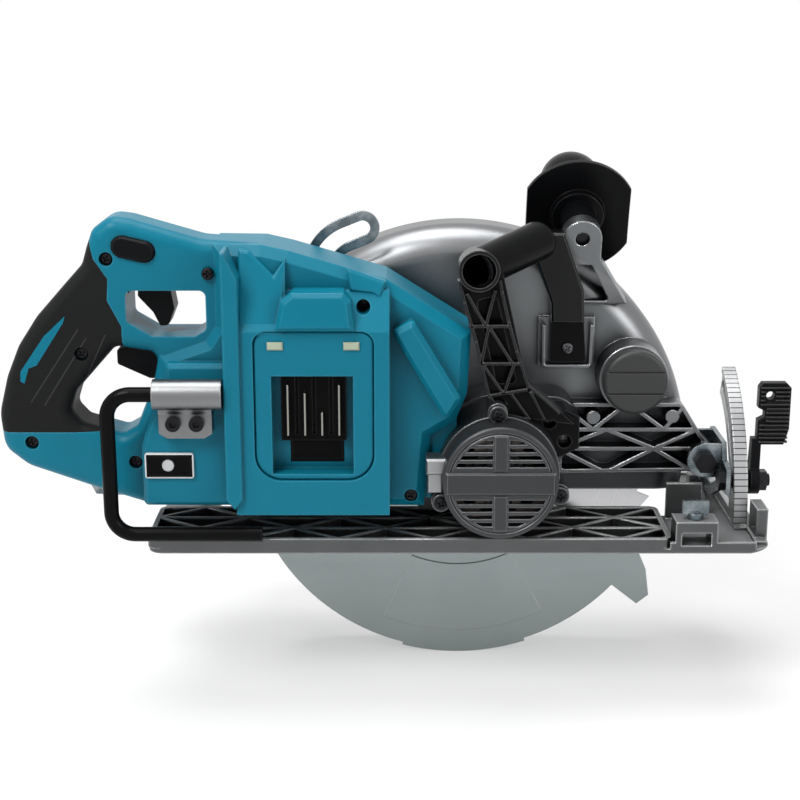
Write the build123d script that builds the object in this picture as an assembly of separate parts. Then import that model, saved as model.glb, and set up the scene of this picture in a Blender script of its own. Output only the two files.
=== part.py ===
from build123d import *
import os
from math import acos, cos, degrees, pi, radians, sin, sqrt, tan

# A rear-handle cordless circular saw, in millimetres. X points forward along the cut, Z up, and
# Y away from the motor side. The origin is on the sole, straight below the arbor, in the blade's plane.

# Clearances
RUN = 0.05  # a shaft or pin in its bore, on the radius
GAP = 0.4  # between neighbouring pieces

# Blade and arbor
ARBOR_Z = 38.0
BLADE_R = 135.0
BLADE_T = 1.6
BLADE_TEETH = 24
GULLET = 9.0
BLADE_BORE_R = 12.7
FLANGE_R = 22.5
FLANGE_T = 8.0
OUTER_FLANGE_T = 5.0
BOLT_R = 4.0
BOLT_HEAD_R = 8.0
BOLT_HEAD_T = 6.0
BOLT_REACH = 22.0

# Gears between motor and arbor
GEAR_MODULE = 1.1
GEAR_TEETH = 35
PINION_TEETH = 9
PINION_SHIFT = 0.5
PRESSURE_ANGLE = radians(20)
BACKLASH = 0.25
GEAR_T = 9.0
MOTOR_LEAN = 27.0  # the motor's axis lies ahead of the arbor, raised by this angle
CENTRES = GEAR_MODULE * (GEAR_TEETH + PINION_TEETH) / 2
MOTOR_X = CENTRES * cos(radians(MOTOR_LEAN))
MOTOR_Z = ARBOR_Z + CENTRES * sin(radians(MOTOR_LEAN))

# Blade case, the upper guard
CASE_R = 151.0
CASE_NEAR = -24.0
CASE_FAR = 21.0
CASE_WALL = 2.5
CASE_SHOULDER = 20.0
CASE_FAR_ROUND = 6.0
CASE_BOTTOM = 15.0
FAR_OPENING_R = 72.0
FRAME_DEPTH = 12.0
RIB_T = 2.4

# Depth pivot at the front and depth guide at the rear
PIVOT_X = 157.0
PIVOT_Z = 41.5
PIVOT_R = 4.0
PIVOT_LUG_R = 9.5
PIVOT_LUG_FAR = -12.5
EAR_R = 11.0
EAR_T = 3.0
EAR_GAP = 0.5
PIVOT_HEAD_T = 3.0
GUIDE_R = 277.0
GUIDE_W = 26.0
GUIDE_T = 3.0
GUIDE_FAR = -30.0
GUIDE_SLOT = 10.0
DEPTH_RANGE = 28.0
CLAMP_DROP = 2.3  # the clamp bolt lies this angle below the pivot at full depth
CLAMP_R = 4.2
TOP_LEAN = 35.0  # the guide's upper end leans forward at this slope
TOP_BEND_R = 70.0
TOP_RUN = 9.0
CLAMP_X = PIVOT_X - GUIDE_R * cos(radians(CLAMP_DROP))
CLAMP_Z = PIVOT_Z - GUIDE_R * sin(radians(CLAMP_DROP))
LEVER_T = 3.6

# Bevel hinge
BEVEL_Y = 22.0
BEVEL_Z = 8.0
BEVEL_PIN_R = 3.0
KNUCKLE_R = 4.7
BEVEL_RANGE = 45.0
BEVEL_SLOT_R = 84.0
BEVEL_RIM_R = 95.0
BEVEL_REST = 17.0  # the clamp bolt's angle above the hinge at zero bevel
BEVEL_BOLT_R = 4.0
BEVEL_BOLT_Y = BEVEL_Y - BEVEL_SLOT_R * cos(radians(BEVEL_REST))
BEVEL_BOLT_Z = BEVEL_Z + BEVEL_SLOT_R * sin(radians(BEVEL_REST))
BRACKET_X = 167.5
BRACKET_T = 3.0
GUIDE_PLATE_X = 172.0
GUIDE_RIM_W = 8.5
GUIDE_PLATE_T = 3.0

# Base
BASE_REAR = -194.0
BASE_FRONT = 189.0
BASE_NEAR = -105.0
BASE_FAR = 45.0
SOLE_T = 3.0
RIM_H = 9.5
RIM_T = 3.0
SLOT_NEAR = -43.0
SLOT_FAR = 30.0
SLOT_REAR = -158.0
SLOT_FRONT = 148.0

# Lower guard
GUARD_R = 141.0
GUARD_T = 2.2
GUARD_NEAR = -15.0
GUARD_FAR = 14.0
GUARD_HUB_R = 28.0
GUARD_LIP_R = 165.0
BOX_R = 24.0  # the bearing box that the lower guard turns on
BOX_FAR = -11.0

# Motor
GEARBOX_NEAR = -57.0
MOTOR_R = 37.0
MOTOR_WALL = 4.0
MOTOR_NEAR = -100.0
COVER_R = 35.0
COVER_NEAR = -118.0
COVER_WALL = 2.6
SHAFT_R = 4.0
BEARING_R = 11.0
BEARING_W = 7.0
STATOR_FAR = -66.0
STATOR_NEAR = -94.0
ROTOR_R = 15.5
FAN_R = 29.0

# Housing: two halves that meet at the handle's middle plane
MID = -72.0
HANDLE_HALF = 18.0
HANDLE_ROUND = 8.0
BODY_NEAR = -95.0
BODY_FAR = -41.0
BLOCK_NEAR = -103.0
PORT_NEAR = -114.0
PORT_LEFT = -137.0
PORT_RIGHT = -45.0
GRIP_T = 3.0
SCREW_R = 2.0
SCREW_HEAD_R = 3.8

HOUSING_OUTLINE = [
    (-226, 186), (-222, 197), (-211, 205), (-200, 203.5), (-157, 191), (-121, 188.6), (-105, 185),
    (-47, 168), (4, 135.6), (2, 98), (-5, 80), (-20, 71), (-24, 26), (-196, 26), (-227, 36),
    (-268, 50.5), (-282, 62), (-284, 84), (-278, 107), (-270, 126), (-258, 144), (-240, 164), (-229, 176),
]
HOUSING_ROUNDS = [8, 8, 12, 20, 30, 30, 30, 20, 10, 8, 5, 5, 6, 20, 30, 20, 14, 30, 30, 30, 30, 25, 10]
BODY_OUTLINE = [
    (-150, 189), (-121, 188.6), (-105, 185), (-47, 168), (4, 135.6), (2, 98), (-5, 80), (-20, 71),
    (-24, 26), (-178, 26), (-187, 40), (-188, 100), (-184, 121), (-156, 131), (-150, 140),
]
HAND_HOLE = [(-211, 126), (-236, 98), (-240, 86), (-233, 78), (-209, 71), (-200, 76), (-189, 103), (-185, 122)]
TRIGGER_HOLE = [(-203, 161), (-155, 161), (-155, 137), (-162, 133), (-188, 133), (-203, 142)]
GRIP_REGION = [
    (-300, 191), (-224, 191), (-221, 180), (-213, 168), (-214, 155), (-206, 139), (-206, 100),
    (-222, 92), (-222, 73), (-300, 73),
]


def facing_near(y):
    """The drawing plane at Y = y that faces the motor side, with X to the right and Z up."""
    return Plane((0, y, 0), x_dir=(1, 0, 0), z_dir=(0, -1, 0))


def facing_front(x):
    """The drawing plane at X = x that faces forward, with Y as its first axis and Z up."""
    return Plane((x, 0, 0), x_dir=(0, 1, 0), z_dir=(1, 0, 0))


def slab(profile, far, near):
    return extrude(facing_near(far) * profile, amount=far - near)


def bar(profile, back, front):
    return extrude(facing_front(back) * profile, amount=front - back)


def outline(points, radius=0):
    if radius:
        return make_face(FilletPolyline(*points, radius=radius, close=True))
    return make_face(Polyline(*points, close=True))


def rod(x, z, r, far, near):
    return slab(Pos(x, z) * Circle(r), far, near)


def tube(x, z, outer, inner, far, near):
    return slab(Pos(x, z) * (Circle(outer) - Circle(inner)), far, near)


def hexagon(x, z, r, far, near):
    return slab(Pos(x, z) * RegularPolygon(r, 6), far, near)


def block(x0, x1, y0, y1, z0, z1):
    return Pos((x0 + x1) / 2, (y0 + y1) / 2, (z0 + z1) / 2) * Box(x1 - x0, y1 - y0, z1 - z0)


def strut(start, end, width):
    """A straight rib between two points of a drawing."""
    (x0, y0), (x1, y1) = start, end
    span = Vector(x1 - x0, y1 - y0)
    turn = Vector(1, 0).get_signed_angle(span)
    return Pos((x0 + x1) / 2, (y0 + y1) / 2) * Rot(0, 0, turn) * Rectangle(span.length, width)


def edges_at(shape, y):
    return shape.edges().filter_by_position(Axis.Y, y - 0.01, y + 0.01)


def polar(r, angle, x=0.0, z=0.0):
    return (x + r * cos(radians(angle)), z + r * sin(radians(angle)))


def sector(r, start, end):
    """A pie slice about the drawing's origin from one angle to the next, both in degrees."""
    arc = CenterArc((0, 0), r, start, end - start)
    return make_face(Line((0, 0), arc @ 0) + arc + Line(arc @ 1, (0, 0)))


# Blade, arbor and gears


def gear_outline(teeth, shift, phase):
    """An involute gear: each flank is four points, from the base circle to the tip."""
    pitch = GEAR_MODULE * teeth / 2
    base = pitch * cos(PRESSURE_ANGLE)
    root = pitch + GEAR_MODULE * (shift - 1.25)
    tip = pitch + GEAR_MODULE * (shift + 0.85)
    involute = tan(PRESSURE_ANGLE) - PRESSURE_ANGLE
    half = pi / (2 * teeth) + 2 * shift * tan(PRESSURE_ANGLE) / teeth - BACKLASH / (2 * pitch)

    def flank(r):
        pressure = acos(min(1.0, base / r))
        return half + involute - (tan(pressure) - pressure)

    start = max(base, root)
    radii = [start + (tip - start) * step / 3 for step in range(4)]
    tooth = [(root, -flank(start))] + [(r, -flank(r)) for r in radii]
    tooth += [(r, flank(r)) for r in reversed(radii)] + [(root, flank(start))]
    points = []
    for index in range(teeth):
        centre = phase + index * 2 * pi / teeth
        points += [(r * cos(centre + a), r * sin(centre + a)) for r, a in tooth]
    return outline(points)


def saw_blade():
    points = []
    for index in range(BLADE_TEETH):
        pitch = 360 / BLADE_TEETH
        angle = index * pitch
        points += [
            polar(BLADE_R - GULLET, angle),
            polar(BLADE_R - GULLET, angle + 0.35 * pitch),
            polar(BLADE_R - 0.35 * GULLET, angle + 0.75 * pitch),
            polar(BLADE_R, angle + 0.97 * pitch),
        ]
    profile = outline(points) - Circle(BLADE_BORE_R)
    return slab(Pos(0, ARBOR_Z) * profile, BLADE_T / 2, -BLADE_T / 2)


FLANGE_NEAR = -BLADE_T / 2 - FLANGE_T
GEAR_FAR = CASE_NEAR - 3.5
GEAR_NEAR = GEAR_FAR - GEAR_T
SPINDLE_R = 8.5
SPINDLE_END_R = 6.0
SPINDLE_NEAR = GEAR_NEAR - 12.0
BALL_R = 17.5
BALL_W = 10.0
BALL_FAR = BOX_FAR - 1.0
NEEDLE_R = 9.0


def spindle():
    shaft = rod(0, ARBOR_Z, SPINDLE_R - RUN, FLANGE_NEAR + 4, GEAR_NEAR)
    shaft += rod(0, ARBOR_Z, SPINDLE_END_R, GEAR_NEAR, SPINDLE_NEAR)
    shaft += rod(0, ARBOR_Z, SPINDLE_R + 2, FLANGE_NEAR, BALL_FAR)
    return shaft - rod(0, ARBOR_Z, BOLT_R, 0, -BOLT_REACH)


def inner_flange():
    plate = rod(0, ARBOR_Z, FLANGE_R, -BLADE_T / 2, FLANGE_NEAR)
    plate += rod(0, ARBOR_Z, BLADE_BORE_R - RUN, BLADE_T / 2 - 0.1, -BLADE_T / 2)
    seat = rod(0, ARBOR_Z, SPINDLE_R - RUN, FLANGE_NEAR + 4, FLANGE_NEAR)
    recess = tube(0, ARBOR_Z, FLANGE_R - 5, BLADE_BORE_R + 1, -BLADE_T / 2, -BLADE_T / 2 - 0.8)
    return plate - seat - recess - rod(0, ARBOR_Z, BOLT_R + 0.3, BLADE_T, FLANGE_NEAR)


def outer_flange():
    far = BLADE_T / 2 + OUTER_FLANGE_T
    plate = rod(0, ARBOR_Z, FLANGE_R - 2, far, BLADE_T / 2)
    plate = chamfer(edges_at(plate, far), 1.5)
    return plate - rod(0, ARBOR_Z, BOLT_R + 0.3, far + 1, 0)


def blade_bolt():
    seat = BLADE_T / 2 + OUTER_FLANGE_T
    bolt = hexagon(0, ARBOR_Z, BOLT_HEAD_R, seat + BOLT_HEAD_T, seat)
    return bolt + rod(0, ARBOR_Z, BOLT_R, seat, -BOLT_REACH + 1)


def drive_gear():
    profile = gear_outline(GEAR_TEETH, -PINION_SHIFT, radians(MOTOR_LEAN)) - Circle(SPINDLE_R - RUN)
    return slab(Pos(0, ARBOR_Z) * profile, GEAR_FAR, GEAR_NEAR)


def pinion():
    phase = radians(MOTOR_LEAN) + pi + pi / PINION_TEETH
    profile = gear_outline(PINION_TEETH, PINION_SHIFT, phase) - Circle(PINION_BORE_R)
    return slab(Pos(MOTOR_X, MOTOR_Z) * profile, GEAR_FAR + 1, GEAR_NEAR - 1)


# Blade case


def guard_section(wall):
    """Half of the case's cross-section, drawn with the radius across and Y up, drawn in by a wall."""
    near, far, rim = CASE_NEAR + wall, CASE_FAR - wall, CASE_R - wall
    shoulder = CenterArc((CASE_R - CASE_SHOULDER, CASE_NEAR + CASE_SHOULDER), CASE_SHOULDER - wall, 270, 90)
    corner = CenterArc((CASE_R - CASE_FAR_ROUND, CASE_FAR - CASE_FAR_ROUND), CASE_FAR_ROUND - wall, 0, 90)
    lines = Line((0, near), shoulder @ 0) + shoulder + Line(shoulder @ 1, corner @ 0) + corner
    lines += Line(corner @ 1, (0, far)) + Line((0, far), (0, near))
    return make_face(lines)


def turned(section):
    axis = Axis((0, 0, ARBOR_Z), (0, 1, 0))
    return revolve(Plane((0, 0, ARBOR_Z)) * section, axis, 360)


FRAME_OUTLINE = [(64, 30), (PIVOT_X - 3, 31), (PIVOT_X + 3, 50), (143, 77), (64, 77)]
FRAME_FLANGES = [46.4, 59.3]
FRAME_STRUTS = [
    ((64, 30), (95, 46.4)), ((95, 46.4), (126, 30)), ((126, 30), (154, 46.4)),
    ((64, 59.3), (95, 46.4)), ((95, 46.4), (126, 59.3)), ((126, 59.3), (154, 46.4)),
    ((64, 59.3), (86, 77)), ((86, 77), (108, 59.3)), ((108, 59.3), (132, 77)), ((132, 77), (146, 59.3)),
]
FRAME_BOSSES = [(86, 67.4), (137, 68)]
EYE = Vector(75, -36, 185.5)
EYE_TILT = 18.0
EYE_R = 12.3
EYE_T = 10.0
EYE_HOLE_R = 4.5
PAD_X = (50, 86)
PAD_Z = (100, 132)
PAD_H = 4.0
DUST_X = 109.7
DUST_Z = 95.2
DUST_BOSS_R = 22.0
DUST_BORE_R = 16.0
DUST_NEAR = -46.0


def eye_plane():
    """The plane of the eye lug, square to the front knob's axis and facing the motor side."""
    tilt = radians(EYE_TILT)
    return Plane(EYE, x_dir=(1, 0, 0), z_dir=(0, -cos(tilt), -sin(tilt)))


def eye_lug():
    legs = outline([(-EYE_R, 0), (EYE_R, -2), (EYE_R, -14), (31, -46), (-1, -46)], 0)
    window = outline([(-3, -18), (7, -18), (20, -44), (3, -44)], 2)
    return extrude(eye_plane() * (Circle(EYE_R) + legs - window), amount=EYE_T / 2, both=True)


def front_frame():
    """The ribbed web ahead of the gears: a wall round its outline, two flanges and crossing struts."""
    face = outline(FRAME_OUTLINE, 4)
    ribs = face - offset(face, -RIB_T)
    for z in FRAME_FLANGES:
        ribs += face & strut((60, z), (PIVOT_X, z), RIB_T)
    for start, end in FRAME_STRUTS:
        ribs += face & strut(start, end, RIB_T)
    for x, z in FRAME_BOSSES:
        ribs += Pos(x, z) * Circle(4.4)
    web = slab(face, CASE_NEAR + CASE_WALL, CASE_NEAR)
    return web + slab(ribs, CASE_NEAR, CASE_NEAR - FRAME_DEPTH)


def blade_case():
    case = turned(guard_section(0))
    case -= block(-CASE_R, CASE_R, CASE_NEAR, CASE_FAR, ARBOR_Z - CASE_R, CASE_BOTTOM)
    case += front_frame() + eye_lug()
    case += rod(PIVOT_X, PIVOT_Z, PIVOT_LUG_R, PIVOT_LUG_FAR, PIVOT_LUG_NEAR)
    case += block(*PAD_X, CASE_NEAR - PAD_H, CASE_NEAR + 1, *PAD_Z)
    case += rod(DUST_X, DUST_Z, DUST_BOSS_R, CASE_NEAR + 4, DUST_NEAR)
    case += rod(CLAMP_X, CLAMP_Z, 9.0, CASE_NEAR + CASE_WALL, GUIDE_FAR + GAP)
    case -= turned(guard_section(CASE_WALL))
    case -= rod(0, ARBOR_Z, FAR_OPENING_R, CASE_FAR + 1, CASE_FAR - CASE_WALL - 1)
    case -= rod(0, ARBOR_Z, BOX_R, 0, CASE_NEAR - 1)
    case -= rod(PIVOT_X, PIVOT_Z, PIVOT_R + RUN, 0, PIVOT_LUG_NEAR - 1)
    case -= rod(PIVOT_X, PIVOT_Z, EAR_R + 1, PIVOT_LUG_FAR + EAR_T + 2 * EAR_GAP + PIVOT_HEAD_T, PIVOT_LUG_FAR)
    case -= slab(gear_profile(), CASE_NEAR, GEARBOX_NEAR)
    case -= rod(DUST_X, DUST_Z, DUST_BORE_R, 0, DUST_NEAR - 1)
    case -= rod(CLAMP_X, CLAMP_Z, CLAMP_R, 0, GUIDE_FAR)
    case -= extrude(eye_plane() * Circle(EYE_HOLE_R), amount=EYE_T, both=True)
    for x, z in STRAP_SCREWS:
        case -= rod(x, z, SCREW_R, CASE_NEAR + CASE_WALL, CASE_NEAR - PAD_H - 1)
    return case


PIVOT_LUG_NEAR = CASE_NEAR - FRAME_DEPTH - 7.5
STRAP_SCREWS = [(67.8, 113.5)]


def dust_cap():
    cap = rod(DUST_X, DUST_Z, DUST_BOSS_R - 1.5, DUST_NEAR, DUST_NEAR - 10)
    cap = fillet(edges_at(cap, DUST_NEAR - 10), 3)
    for z in (-7, 7):
        groove = block(DUST_X - 25, DUST_X + 25, DUST_NEAR - 11, DUST_NEAR - 9, DUST_Z + z - 0.6, DUST_Z + z + 0.6)
        cap -= groove
    return cap + tube(DUST_X, DUST_Z, DUST_BORE_R - RUN, DUST_BORE_R - 3, DUST_NEAR + 12, DUST_NEAR)


# Lower guard and its spring

LIP = [(-30, GUARD_R), (-33, 152), (-38, GUARD_LIP_R), (-41.5, GUARD_LIP_R - 2), (-42, GUARD_R)]
GUARD_REAR = -190.0
GUARD_FRONT = -30.0
BULGE = (-105.0, -71.0)
BULGE_H = 2.0
FAR_WALL_R = 98.0
PANEL_H = 0.8


def lower_guard():
    centre = Pos(0, ARBOR_Z)
    body = sector(GUARD_R, GUARD_REAR, GUARD_FRONT) + sector(GUARD_R + BULGE_H, *BULGE)
    lip = outline([polar(r, a) for a, r in LIP])
    guard = slab(centre * (body + lip), GUARD_FAR, GUARD_NEAR)
    hollow = Circle(GUARD_R - GUARD_T) + offset(lip, -GUARD_T)
    guard -= slab(centre * hollow, GUARD_FAR - GUARD_T, GUARD_NEAR + GUARD_T)
    guard -= rod(0, ARBOR_Z, FAR_WALL_R, GUARD_FAR + 1, GUARD_FAR - GUARD_T - 1)
    panel = sector(GUARD_R - 14, BULGE[0] - 8, BULGE[1] + 8) - Circle(GUARD_R - 62)
    guard += slab(centre * panel, GUARD_NEAR, GUARD_NEAR - PANEL_H)
    guard += rod(0, ARBOR_Z, GUARD_HUB_R, GUARD_NEAR + GUARD_T, CASE_NEAR + CASE_WALL + 1)
    return guard - rod(0, ARBOR_Z, BOX_R + 2 * RUN, 0, CASE_NEAR)


SPRING_R = GUARD_HUB_R + 3
SPRING_WIRE_R = 0.7
SPRING_PITCH = 1.9
SPRING_TURNS = 2


def guard_spring():
    """A torsion spring round the guard's hub: a helix swept in quarter turns."""
    start = CASE_NEAR + CASE_WALL + SPRING_WIRE_R + GAP / 4
    path = Helix(SPRING_PITCH, SPRING_PITCH * SPRING_TURNS, SPRING_R)
    wire = sweep(Plane(path @ 0, z_dir=path % 0) * Circle(SPRING_WIRE_R), path, is_frenet=True)
    return Pos(0, start, ARBOR_Z) * Rot(-90, 0, 0) * wire


# Gear housing, bearings and motor

BOX_FLANGE_R = 33.0
BOX_FLANGE_T = 2.5
LUG_X = 57.0
LUG_Z = 70.0
LUG_R = 17.0
FOOT_SCREWS = [(53.5, 76.5), (63.1, 64.2)]
PINION_BORE_R = 2.6
FLOOR_Z = 12.0


def below_floor():
    """The space under the gear housing's flat underside, which clears the base."""
    return block(-100, 100, GEARBOX_NEAR - 1, CASE_NEAR, -100, FLOOR_Z)


def bearing_box():
    box = rod(0, ARBOR_Z, BOX_R, BOX_FAR, CASE_NEAR)
    box += rod(0, ARBOR_Z, BOX_FLANGE_R, CASE_NEAR, CASE_NEAR - BOX_FLANGE_T)
    box -= below_floor()
    box -= rod(0, ARBOR_Z, BALL_R, BALL_FAR, CASE_NEAR - BOX_FLANGE_T - 1)
    return box - rod(0, ARBOR_Z, SPINDLE_R + 4, BOX_FAR + 1, BALL_FAR - 1)


def ball_bearing():
    return tube(0, ARBOR_Z, BALL_R, SPINDLE_R, BALL_FAR, BALL_FAR - BALL_W)


def needle_bearing():
    return tube(0, ARBOR_Z, NEEDLE_R, SPINDLE_END_R + RUN, GEAR_NEAR - 2, SPINDLE_NEAR - 0.5)


def gear_profile():
    """The gear housing's side outline: a hull round the arbor, the motor and the front grip's lug."""
    arbor = Pos(0, ARBOR_Z) * Circle(BOX_FLANGE_R + 3)
    motor = Pos(MOTOR_X, MOTOR_Z) * Circle(MOTOR_R + 2)
    lug = Pos(LUG_X, LUG_Z) * Circle(LUG_R)
    return make_hull(arbor.edges() + motor.edges() + lug.edges())


def gear_housing():
    case = slab(gear_profile(), CASE_NEAR, GEARBOX_NEAR) - below_floor()
    case -= rod(0, ARBOR_Z, BOX_FLANGE_R, CASE_NEAR + 1, CASE_NEAR - BOX_FLANGE_T)
    gear_room = GEAR_MODULE * (GEAR_TEETH / 2 + 2)
    case -= rod(0, ARBOR_Z, gear_room, CASE_NEAR, GEAR_NEAR - 1)
    case -= rod(0, ARBOR_Z, NEEDLE_R, CASE_NEAR, SPINDLE_NEAR - 0.5)
    case -= rod(MOTOR_X, MOTOR_Z, PINION_BORE_R + 6, GEAR_FAR + 2, GEARBOX_NEAR - 1)
    case -= rod(MOTOR_X, MOTOR_Z, BEARING_R, GEARBOX_NEAR + BEARING_W + 0.5, GEARBOX_NEAR - 1)
    for x, z in FOOT_SCREWS:
        case -= rod(x, z, SCREW_R, GEARBOX_NEAR + 16, GEARBOX_NEAR - 1)
    return case


REAR_BEARING_FAR = COVER_NEAR + COVER_WALL + 3 + BEARING_W


def motor_bearings():
    front = tube(MOTOR_X, MOTOR_Z, BEARING_R, SHAFT_R + RUN, GEARBOX_NEAR + BEARING_W, GEARBOX_NEAR)
    rear = tube(MOTOR_X, MOTOR_Z, BEARING_R, SHAFT_R + RUN, REAR_BEARING_FAR, REAR_BEARING_FAR - BEARING_W)
    return Compound(children=[*front.solids(), *rear.solids()])


def rotor():
    shaft = rod(MOTOR_X, MOTOR_Z, SHAFT_R, GEARBOX_NEAR + BEARING_W + 1, REAR_BEARING_FAR - BEARING_W + 1)
    shaft += rod(MOTOR_X, MOTOR_Z, PINION_BORE_R, GEAR_FAR + 1, GEARBOX_NEAR)
    return shaft + rod(MOTOR_X, MOTOR_Z, ROTOR_R, STATOR_FAR - 1, STATOR_NEAR + 1)


def stator():
    ring = Circle(MOTOR_R - MOTOR_WALL) - Circle(MOTOR_R - MOTOR_WALL - 4)
    for index in range(6):
        tooth = Pos(ROTOR_R + 8, 0) * Rectangle(14, 5) + Pos(ROTOR_R + 3, 0) * Rectangle(4, 12)
        ring += Rot(0, 0, 60 * index) * tooth
    ring -= Circle(ROTOR_R + 0.6)
    return slab(Pos(MOTOR_X, MOTOR_Z) * ring, STATOR_FAR, STATOR_NEAR)


def cooling_fan():
    near = STATOR_FAR + 1
    fan = rod(MOTOR_X, MOTOR_Z, FAN_R, near + 1.2, near) + rod(MOTOR_X, MOTOR_Z, 8, near + 6, near)
    blades = Sketch()
    for index in range(11):
        blades += Rot(0, 0, index * 360 / 11) * Pos(19, 0) * Rot(0, 0, 20) * Rectangle(18, 1.2)
    fan += slab(Pos(MOTOR_X, MOTOR_Z) * blades, near + 6, near)
    return fan - rod(MOTOR_X, MOTOR_Z, SHAFT_R, near + 9, near - 1)


def motor_housing():
    body = tube(MOTOR_X, MOTOR_Z, MOTOR_R, MOTOR_R - MOTOR_WALL, GEARBOX_NEAR, MOTOR_NEAR)
    for x, z in COVER_SCREWS:
        body += rod(x, z, 6, GEARBOX_NEAR - 20, MOTOR_NEAR) - rod(MOTOR_X, MOTOR_Z, MOTOR_R - MOTOR_WALL, 0, COVER_NEAR)
    for x, z in COVER_SCREWS:
        body -= rod(x, z, SCREW_R, GEARBOX_NEAR - 24, MOTOR_NEAR - 1)
    return body


COVER_SCREWS = [polar(MOTOR_R + 2, angle, MOTOR_X, MOTOR_Z) for angle in (-18, 205, 92)]
LOUVRE_PITCH = 4.7
LOUVRE_H = 2.6
LOUVRE_FIRST = 11.6
LOUVRES = 4
LOUVRE_R = 29.0
SPINE_W = 9.6


def motor_end_cover():
    """A cup over the motor's end: louvres in two groups, left and right of a spine, round a bare band."""
    cup = rod(MOTOR_X, MOTOR_Z, COVER_R, MOTOR_NEAR, COVER_NEAR)
    cup = fillet(edges_at(cup, COVER_NEAR), 2)
    cup -= rod(MOTOR_X, MOTOR_Z, COVER_R - COVER_WALL, MOTOR_NEAR + 1, COVER_NEAR + COVER_WALL)
    cup += tube(MOTOR_X, MOTOR_Z, BEARING_R + 2.5, BEARING_R, REAR_BEARING_FAR, COVER_NEAR + COVER_WALL)
    cup += tube(MOTOR_X, MOTOR_Z, BEARING_R, SHAFT_R + 3, REAR_BEARING_FAR - BEARING_W, COVER_NEAR + COVER_WALL)
    groove = tube(MOTOR_X, MOTOR_Z, LOUVRE_R + 2.5, LOUVRE_R + 1.5, COVER_NEAR + 0.8, COVER_NEAR - 1)
    cup -= groove
    slots = Sketch()
    for index in range(LOUVRES):
        for side in (-1, 1):
            z = side * (LOUVRE_FIRST + index * LOUVRE_PITCH)
            slots += Pos(0, z) * Rectangle(2 * LOUVRE_R, LOUVRE_H)
    slots = (slots & Circle(LOUVRE_R)) - Rectangle(SPINE_W, 2 * LOUVRE_R)
    cup -= slab(Pos(MOTOR_X, MOTOR_Z) * slots, COVER_NEAR + COVER_WALL + 0.5, COVER_NEAR - 1)
    for x, z in COVER_SCREWS:
        ear = rod(x, z, 5.5, MOTOR_NEAR, MOTOR_NEAR - 5) - rod(x, z, SCREW_R, MOTOR_NEAR + 1, MOTOR_NEAR - 6)
        cup += ear - rod(MOTOR_X, MOTOR_Z, COVER_R - COVER_WALL, MOTOR_NEAR + 1, COVER_NEAR)
    return cup


def cover_screws():
    solids = []
    for x, z in COVER_SCREWS:
        screw = rod(x, z, SCREW_HEAD_R, MOTOR_NEAR - 5, MOTOR_NEAR - 8) + rod(x, z, SCREW_R, MOTOR_NEAR + 18, MOTOR_NEAR - 5)
        solids += screw.solids()
    return Compound(children=solids)


# Housing halves, grip and what sits in them

LOCK_X = -197.0
LOCK_Z = 186.0
LOCK_W = 26.0
LOCK_H = 12.5
LOCK_TILT = -13.0
LOCK_PROUD = 2.5
LOCK_TRAVEL = 2.5
TRIGGER_PIVOT = (-190.0, 167.0)
TRIGGER_PIN_R = 2.0
TRIGGER_HALF = 8.5
TRIGGER_OUTLINE = [
    (-196, 170), (-180, 170), (-177, 160), (-175, 148), (-179, 138), (-184, 137.5), (-188, 146), (-197, 156),
]
TRIGGER_ROOM = (-206.0, -172.5, 157.0, 174.0)
SWITCH = (-171.0, -158.5, -84.0, -60.0, 164.5, 184.0)
CONTROLLER = (-126.0, -54.0, 56.0, 132.0)
CONTROLLER_T = 15.0
LID_OUTLINE = [(-211, 123), (-206, 124.8), (-189.5, 121.5), (-181, 111), (-181, 105), (-191.5, 105), (-211, 114)]
LID_PIVOT = (-183.5, 108.0)
LID_PIN_R = 1.5
LID_HALF = 9.0
LID_ROOM = [(-200, 86), (-186, 90), (-178.5, 103), (-178.5, 113), (-190, 123), (-200, 118)]
PORT = (-125.5, -54.0, 49.6, 141.3)
PORT_DEPTH = 20.0
PORT_RECESS = 1.5
WINDOW = (-115.0, -66.5, 53.5, 114.0)
WINDOW_DEPTH = 13.0
RAIL_LIP = 4.0
BLADE_XS = (-105.6, -95.4, -85.2, -75.0)
BLADE_TOPS = (108.0, 103.0, 91.0, 108.0)
PANEL = (-193.0, -163.5, 48.4, 64.1)
PANEL_SINK = 2.0
PANEL_PROUD = 2.0
PANEL_FRAME_W = 2.2
BUTTON_X = -179.0
BUTTON_Z = 56.4
BUTTON_R = 3.6
BUTTON_TRAVEL = 1.0
SCREW_HEAD_T = 2.6
SCREW_SINK = 4.0
SCREW_FAR = MID + 13.0
BODY_SCREWS = [(-153, 171.6), (-60.4, 154), (-32, 34)]
HANDLE_SCREWS = [(-201, 54), (-213.5, 180), (-231, 122), (-264, 66.5)]
HOUSING_SCREWS = [(x, z, BODY_NEAR + SCREW_SINK) for x, z in BODY_SCREWS]
HOUSING_SCREWS += [(x, z, MID - HANDLE_HALF + SCREW_SINK) for x, z in HANDLE_SCREWS]
LOWER_BLOCK = [(-195, 30), (-195, 68), (-191, 80), (-180, 104), (-179, 119), (-139, 119), (-139, 30)]
PORT_SECTION = [(MID, 28), (PORT_NEAR, 28), (PORT_NEAR, 141), (PORT_NEAR + 16, 163), (MID, 163)]
PILLAR = [(-143, 38), (-138, 32), (-133, 38), (-133, 172), (-141, 188), (-143, 188)]
PILLAR_NEAR = -117.0
RIDGE = [(-44, 139), (-31, 146), (-2, 98), (-11, 83.5)]
RIDGE_NEAR = -106.0
BRIDGE = [(-40, 30), (-4, 30), (-4, 84), (-40, 84)]
BRIDGE_NEAR = -86.0
BODY_CHAMFER = 6.0
SHELL = 4.0
HOLLOW_NEAR = PORT_NEAR + PORT_DEPTH + SHELL


def handle_face():
    return make_face(FilletPolyline(*HOUSING_OUTLINE, radius=HOUSING_ROUNDS, close=True)) - outline(HAND_HOLE, 6)


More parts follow.
